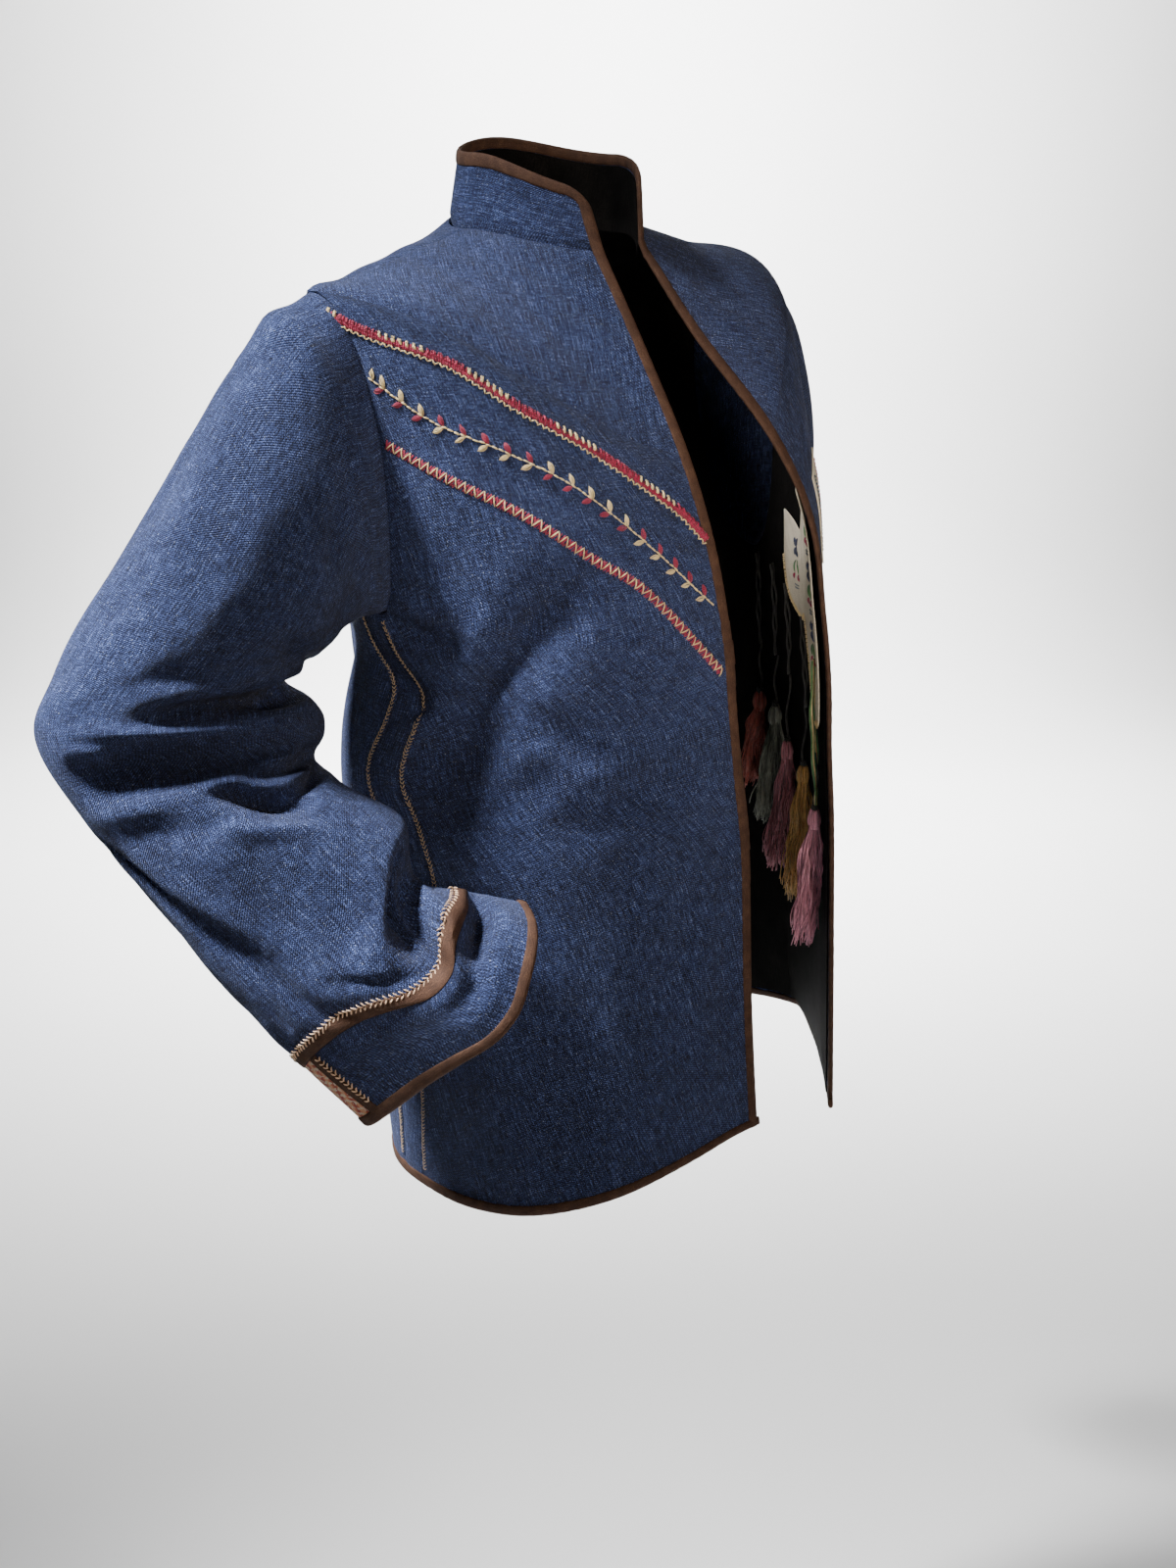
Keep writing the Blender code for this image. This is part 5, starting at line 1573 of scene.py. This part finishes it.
# ---------------------------------------------------------------- tassels and cords
def tassel_finish(name, colour):
    """Loose shiny strands, each a little lighter or darker than the next."""
    make = Finish(name + "_finish", Roughness=0.5, Sheen_Weight=0.2)
    cloth = make.cloth()
    streak = make.noise(cloth, (.0008, .010), 2.0)
    grain = make.noise(cloth, (.0010, .0012), 1.0, 3.7)
    tone = make.mark("shade") + streak * 0.9 + grain * 0.3
    dark, light = tuple(c * .35 for c in colour), tuple(min(c * 1.5 + .06, 1) for c in colour)
    return make.wear(make.ramp(tone, ((.1, dark), (.9, light), (.5, colour))), streak + grain, .00020)


def shade_strands(thing, strands, random):
    """Give each strand its own lightness."""
    each = len(thing.data.vertices) // strands
    values = np.repeat(np.clip(random.normal(.5, .16, strands), 0, 1), each)
    thing.data.attributes.new("shade", "FLOAT", "POINT").data.foreach_set("value", values.astype(np.float32))


TASSEL_LEAN = 0.0055     # how far a tassel's tip hangs out of plumb


def make_tassel(row, seed):
    """A hanging cord, a looped head and a skirt of loose wavy strands in locks."""
    tassel = dict(zip(TASSEL_COLUMNS, row))
    random = np.random.default_rng(seed)
    x, y, top = tassel["x"], tassel["y"], tassel["head_z"]
    finish = tassel_finish(tassel["name"], tassel["colour"])
    slot = tassel["name"].replace("tassel_", "") + "_thread"
    root = top - .007
    count, points, locks = 170, 18, 15
    lock = random.integers(0, locks, count)
    turn = (random.uniform(0, 2 * math.pi, locks)[lock] + random.normal(0, .30, count))[:, None]
    spread = np.sqrt(random.uniform(.02, 1, locks))[lock] + random.normal(0, .16, count)
    spread = np.clip(spread, 0, 1.25)[:, None]
    t = np.linspace(0, 1, points)[None]
    share = random.uniform(.84, 1.0, locks)[lock] - random.uniform(0, .13, count)
    length = (root - tassel["tip_z"]) * share[:, None]
    stray = np.where(random.uniform(0, 1, count) > .92, 1.0, 0.0)[:, None]
    radius = spread * (.0036 + .0028 * ease(t * 4) + .0024 * t)
    wave = []
    for size, slow, fast in ((.0016, 3, 6), (.0008, 9, 17)):
        for who in (lock, np.arange(count)):
            speed = random.uniform(slow, fast, count)[who]
            phase = random.uniform(0, 2 * math.pi, (2, count))[:, who]
            wave.append(size * np.sin(t[None] * speed[:, None] + phase[..., None]) * ease(t * 3)[None])
    wave = sum(wave) + stray * random.normal(0, .0045, (2, count, 1)) * t**1.6
    hang = TASSEL_LEAN * t**1.4
    centres = np.stack([x + radius * np.cos(turn) + wave[0] - hang * .74,
                        y + radius * np.sin(turn) + wave[1] + hang * .67,
                        root - length * t], axis=-1)
    radii = .00050 * (1 - .30 * t) * random.normal(1, .16, (count, 1))
    skirt = tube(tassel["name"] + "_skirt", centres, radii, finish, sides=4)
    shade_strands(skirt, count, random)
    dress(skirt, slot, tassel["name"])
    # strands folded over the cord, and bound round the neck
    count = 34
    turn = (2 * math.pi * np.arange(count) / count + random.normal(0, .12, count))[:, None]
    t = np.linspace(0, 1, 11)[None]
    swell = np.sin(math.pi * np.clip(t * .72 + .06, 0, 1)) ** .5
    bulge = .0008 + .0036 * swell * random.normal(1, .17, (count, 1))
    bulge = np.where(t > .75, mix(bulge, .0034, (t - .75) / .25), bulge)
    centres = np.stack([x + bulge * np.cos(turn), y + bulge * np.sin(turn),
                        top + .0045 - .0150 * t + random.normal(0, .0007, (count, 1)) * (1 - t)], axis=-1)
    head = tube(tassel["name"] + "_head", centres, np.full((count, 11), .00072), finish, sides=5)
    shade_strands(head, count, random)
    rounds = np.linspace(0, 2 * math.pi * 4, 80)
    wrap = np.stack([x + .0036 * np.cos(rounds), y + .0036 * np.sin(rounds),
                     top - .0082 - .0020 * rounds / rounds[-1]], axis=-1)[None]
    bound = tube(tassel["name"] + "_binding", wrap, np.full((1, 80), .00045), finish, sides=5)
    shade_strands(bound, 1, random)
    # cord and the dark knot above the head
    t = np.linspace(0, 1, 24)
    sag = .0012 * np.sin(t * 7 + seed)
    cord = np.stack([x + sag, y - sag * .6, mix(tassel["hang_z"], top + .002, t)], axis=-1)[None]
    string = tube(tassel["name"] + "_string", cord, np.full((1, 24), .00085), DARK, sides=6, twist=.5)
    rounds = np.linspace(0, 2 * math.pi * 3, 50)
    knot = np.stack([x + .0019 * np.cos(rounds), y + .0019 * np.sin(rounds),
                     top + .0085 - .0042 * rounds / rounds[-1]], axis=-1)[None]
    tie = tube(tassel["name"] + "_knot", knot, np.full((1, 50), .00100), DARK, sides=6)
    for thing in (head, bound, string, tie):
        dress(thing, slot)
    return skirt


CORD_RISE = 0.075        # how far above its tassel's string a cord is sewn on


def make_cords():
    """Cords that hold the tassels up along the lining from the cream panel's edge."""
    made = []
    for number, row in enumerate(TASSELS):
        tassel = dict(zip(TASSEL_COLUMNS, row))
        first = number == 0
        end_z = tassel["head_z"] + .006 if first else tassel["hang_z"] + .0005
        end = np.array([tassel["x"], tassel["y"], end_z])
        angle = np.array([math.degrees(math.atan2(.02 - end[0], -.02 - end[1]))])
        level = level_at(angle, np.array([tassel["hang_z"] + CORD_RISE]))
        start = lining_point(level, angle) - body_normal(level, angle) * .0060
        t = np.linspace(0, 1, 30)[:, None]
        lines = []
        for i in (-2, -1, 0, 1, 2) if first else (-1, 1):
            middle = mix(start[0] + np.array([.003 * i, .002 * i, 0]), end, t)
            wave = np.concatenate([.0013 * i * np.sin(math.pi * t) + .0007 * np.sin(19 * t + i),
                                   .0010 * np.sin(5 * t + number), 0 * t], axis=1)
            lines.append(middle + wave)
        slot = tassel["name"].replace("tassel_", "") + "_thread"
        shades = [("dark", DARK, lines)]
        if first:
            shades = [("green", THREADS["green"], lines[::2]), ("pale", THREADS["cream"], lines[1::2])]
        for shade, finish, some in shades:
            cord = tube("tassel_cord_%d_%s" % (number, shade), np.stack(some),
                        np.full((len(some), 30), .00080), finish, sides=6, twist=.5)
            made.append(dress(cord, slot))
    return made


# ---------------------------------------------------------------- assembly
def make_jacket():
    body = make_body()
    collar, facing = make_collar()
    edge = binding("front_and_collar_binding", edge_line, "brown_binding", "edge_binding", seed=.4)
    hem = binding("hem_edge_binding", hem_line, "brown_binding", "hem_binding", seed=1.9)
    needlework = sew_row_one() + sew_row_two() + sew_row_three()
    gore_lines = {}
    for side in SIGN:
        for half in ("front", "back"):
            name = "%s_gore_%s_stitches" % (side, half)
            gore_lines[side, half] = feather(gore_trail(side, half), name, "tan", thick=.0008, width=.0017)
    hang(body["right_front_cloth"], "hung", ["neck_and_shoulders"],
         [edge] + needlework + gore_lines["right", "front"])
    hang(body["left_front_cloth"], "hung", ["neck_and_shoulders"], gore_lines["left", "front"])
    hang(body["back_cloth"], "hung", ["neck_and_shoulders"],
         [hem] + gore_lines["right", "back"] + gore_lines["left", "back"])
    for side in SIGN:
        hang(body[side + "_gore_cloth"], "hung", [side + "_front_cloth"])
    hang(collar, "hung", ["neck_and_shoulders"])
    hang(facing, "hung", ["collar_cloth"])
    for side, table in (("right", RIGHT_SLEEVE), ("left", LEFT_SLEEVE)):
        sleeve = Sleeve(side, table)
        cloth, tape = sleeve_cloth(sleeve)
        band, panel, tapes, cuff_edge = make_cuff(sleeve)
        length = np.linalg.norm(sleeve.smooth(sleeve.strip, 0.0) - sleeve.smooth(sleeve.strip - 1, 0.0))
        station = np.full(240, sleeve.strip - STRIP_WIDTH / length * .96)
        k = np.linspace(RING / 2 + .2, RING * 1.5 - .2, 240)
        upper = feather(sleeve_trail(sleeve, station, k, .0008), side + "_sleeve_tape_stitches",
                        "pale", .0038, .0030, .0012, reach=.0028)
        cuff_rows = []
        station = np.linspace(sleeve.strip + .05, sleeve.last - .2, 80)
        for number, k in enumerate((PANEL_FRONT + CUFF_TAPE, PANEL_BACK - CUFF_TAPE)):
            trail = sleeve_trail(sleeve, station, np.full(80, k), TAPE + SEAM_GAP)
            cuff_rows += feather(trail, "%s_cuff_tape_row_%d" % (side, number),
                                 "pale", .0036, .0026, .0011, 46 + number, .0026)
        hang(cloth, "hung", [side + "_front_cloth"], [tape] + upper)
        hang(band, "hung", [side + "_sleeve_cloth"], tapes + cuff_rows + [cuff_edge])
        hang(panel, "hung", [side + "_cuff_cloth"])
    for thing in make_lining():
        hang(thing, "hung", ["neck_and_shoulders"])
    inner, inner_work = make_inner_panel()
    hang(inner, "hung", ["left_lining_cloth"], inner_work)
    outer, outer_work = make_outer_panel()
    hang(outer, "hung", ["left_front_cloth"], outer_work)
    for number, row in enumerate(TASSELS):
        make_tassel(row, 5 + number)
    make_cords()


# ---------------------------------------------------------------- studio
CAMERA_PLACE = (-1.01502, -1.17180, 0.062)
CAMERA_TILT = 72.4              # degrees up from straight down
CAMERA_TURN = 42                # degrees round from the jacket's front
FRAME_HEIGHT = 1600             # pixels of the frame, and its focal length in them
FOCAL_LENGTH = 2110
SENSOR = 36                     # millimetres
LIGHT_COLUMNS = ("name", "place", "aim", "size", "power", "spread", "colour")
LIGHTS = (
    ("key_light", (-1.55, .76, 1.90), (-.48, .05, -.25), .5, 11.0, 30, (1, 1, 1)),
    ("front_fill", (-.62, -1.95, .10), (.04, -.10, -.22), .6, 1.6, 38, (1.0, .88, .74)),
    ("opening_light", (-1.25, -1.05, .12), (.04, -.16, -.21), .2, .11, 17, (1.0, .93, .84)),
    ("floor_light", (2.2, 2.4, 2.4), (1.9, 2.1, -1.4), 2.0, 190, 64, (1, 1, 1)),
    ("wall_light", (2.2, 2.4, 1.0), (3.7, 4.1, .2), 1.8, 220, 120, (1, 1, 1)),
)


def make_studio():
    """A floor that curves up into a wall, square to the camera."""
    floor_z, back, rise = -1.40, 5.5, 2.2
    profile = [(-7.0, floor_z), (back - rise, floor_z)]
    for turn in np.linspace(0, math.pi / 2, 14)[1:]:
        profile.append((back - rise + rise * math.sin(turn), floor_z + rise * (1 - math.cos(turn))))
    profile.append((back, 6.0))
    run, up = np.array(profile).T
    wide = np.linspace(-9, 9, 3)
    east, north = math.sin(math.radians(CAMERA_TURN)), math.cos(math.radians(CAMERA_TURN))
    run, wide = run[:, None], wide[None]
    across, deep = run * east + wide * north, run * north - wide * east
    grid = np.stack(np.broadcast_arrays(across, deep, up[:, None]), axis=-1)
    rows, columns = grid.shape[:2]
    faces = [(r * columns + c, r * columns + c + 1, (r + 1) * columns + c + 1, (r + 1) * columns + c)
             for r in range(rows - 1) for c in range(columns - 1)]
    mesh = bpy.data.meshes.new("studio_board")
    mesh.from_pydata(grid.reshape(-1, 3).tolist(), [], faces)
    mesh.materials.append(pale_board())
    mesh.shade_smooth()
    board = bpy.data.objects.new("studio_board", mesh)
    bpy.context.scene.collection.objects.link(board)


def make_light(row):
    row = dict(zip(LIGHT_COLUMNS, row))
    light = bpy.data.lights.new(row["name"], "AREA")
    light.shape = "DISK"
    light.size = row["size"]
    light.energy = row["power"]
    light.color = row["colour"]
    light.spread = math.radians(row["spread"])
    lamp = bpy.data.objects.new(row["name"], light)
    lamp.location = row["place"]
    aim = Vector(row["aim"]) - Vector(row["place"])
    lamp.rotation_euler = aim.to_track_quat("-Z", "Y").to_euler()
    lamp.visible_camera = False
    bpy.context.scene.collection.objects.link(lamp)


def make_lights():
    for row in LIGHTS:
        make_light(row)
    world = bpy.data.worlds.new("pale_studio_air")
    world.use_nodes = True
    air = world.node_tree.nodes["Background"]
    air.inputs["Color"].default_value = (.93, .95, 1.0, 1.0)
    air.inputs["Strength"].default_value = 0.02
    bpy.context.scene.world = world


def make_camera():
    lens = bpy.data.cameras.new("studio_camera")
    lens.lens = FOCAL_LENGTH / FRAME_HEIGHT * SENSOR
    lens.sensor_width = SENSOR
    lens.clip_start, lens.clip_end = .05, 50
    camera = bpy.data.objects.new("studio_camera", lens)
    camera.location = CAMERA_PLACE
    camera.rotation_euler = (math.radians(CAMERA_TILT), 0, math.radians(-CAMERA_TURN))
    bpy.context.scene.collection.objects.link(camera)
    bpy.context.scene.camera = camera


make_camera()
make_jacket()
make_studio()
make_lights()
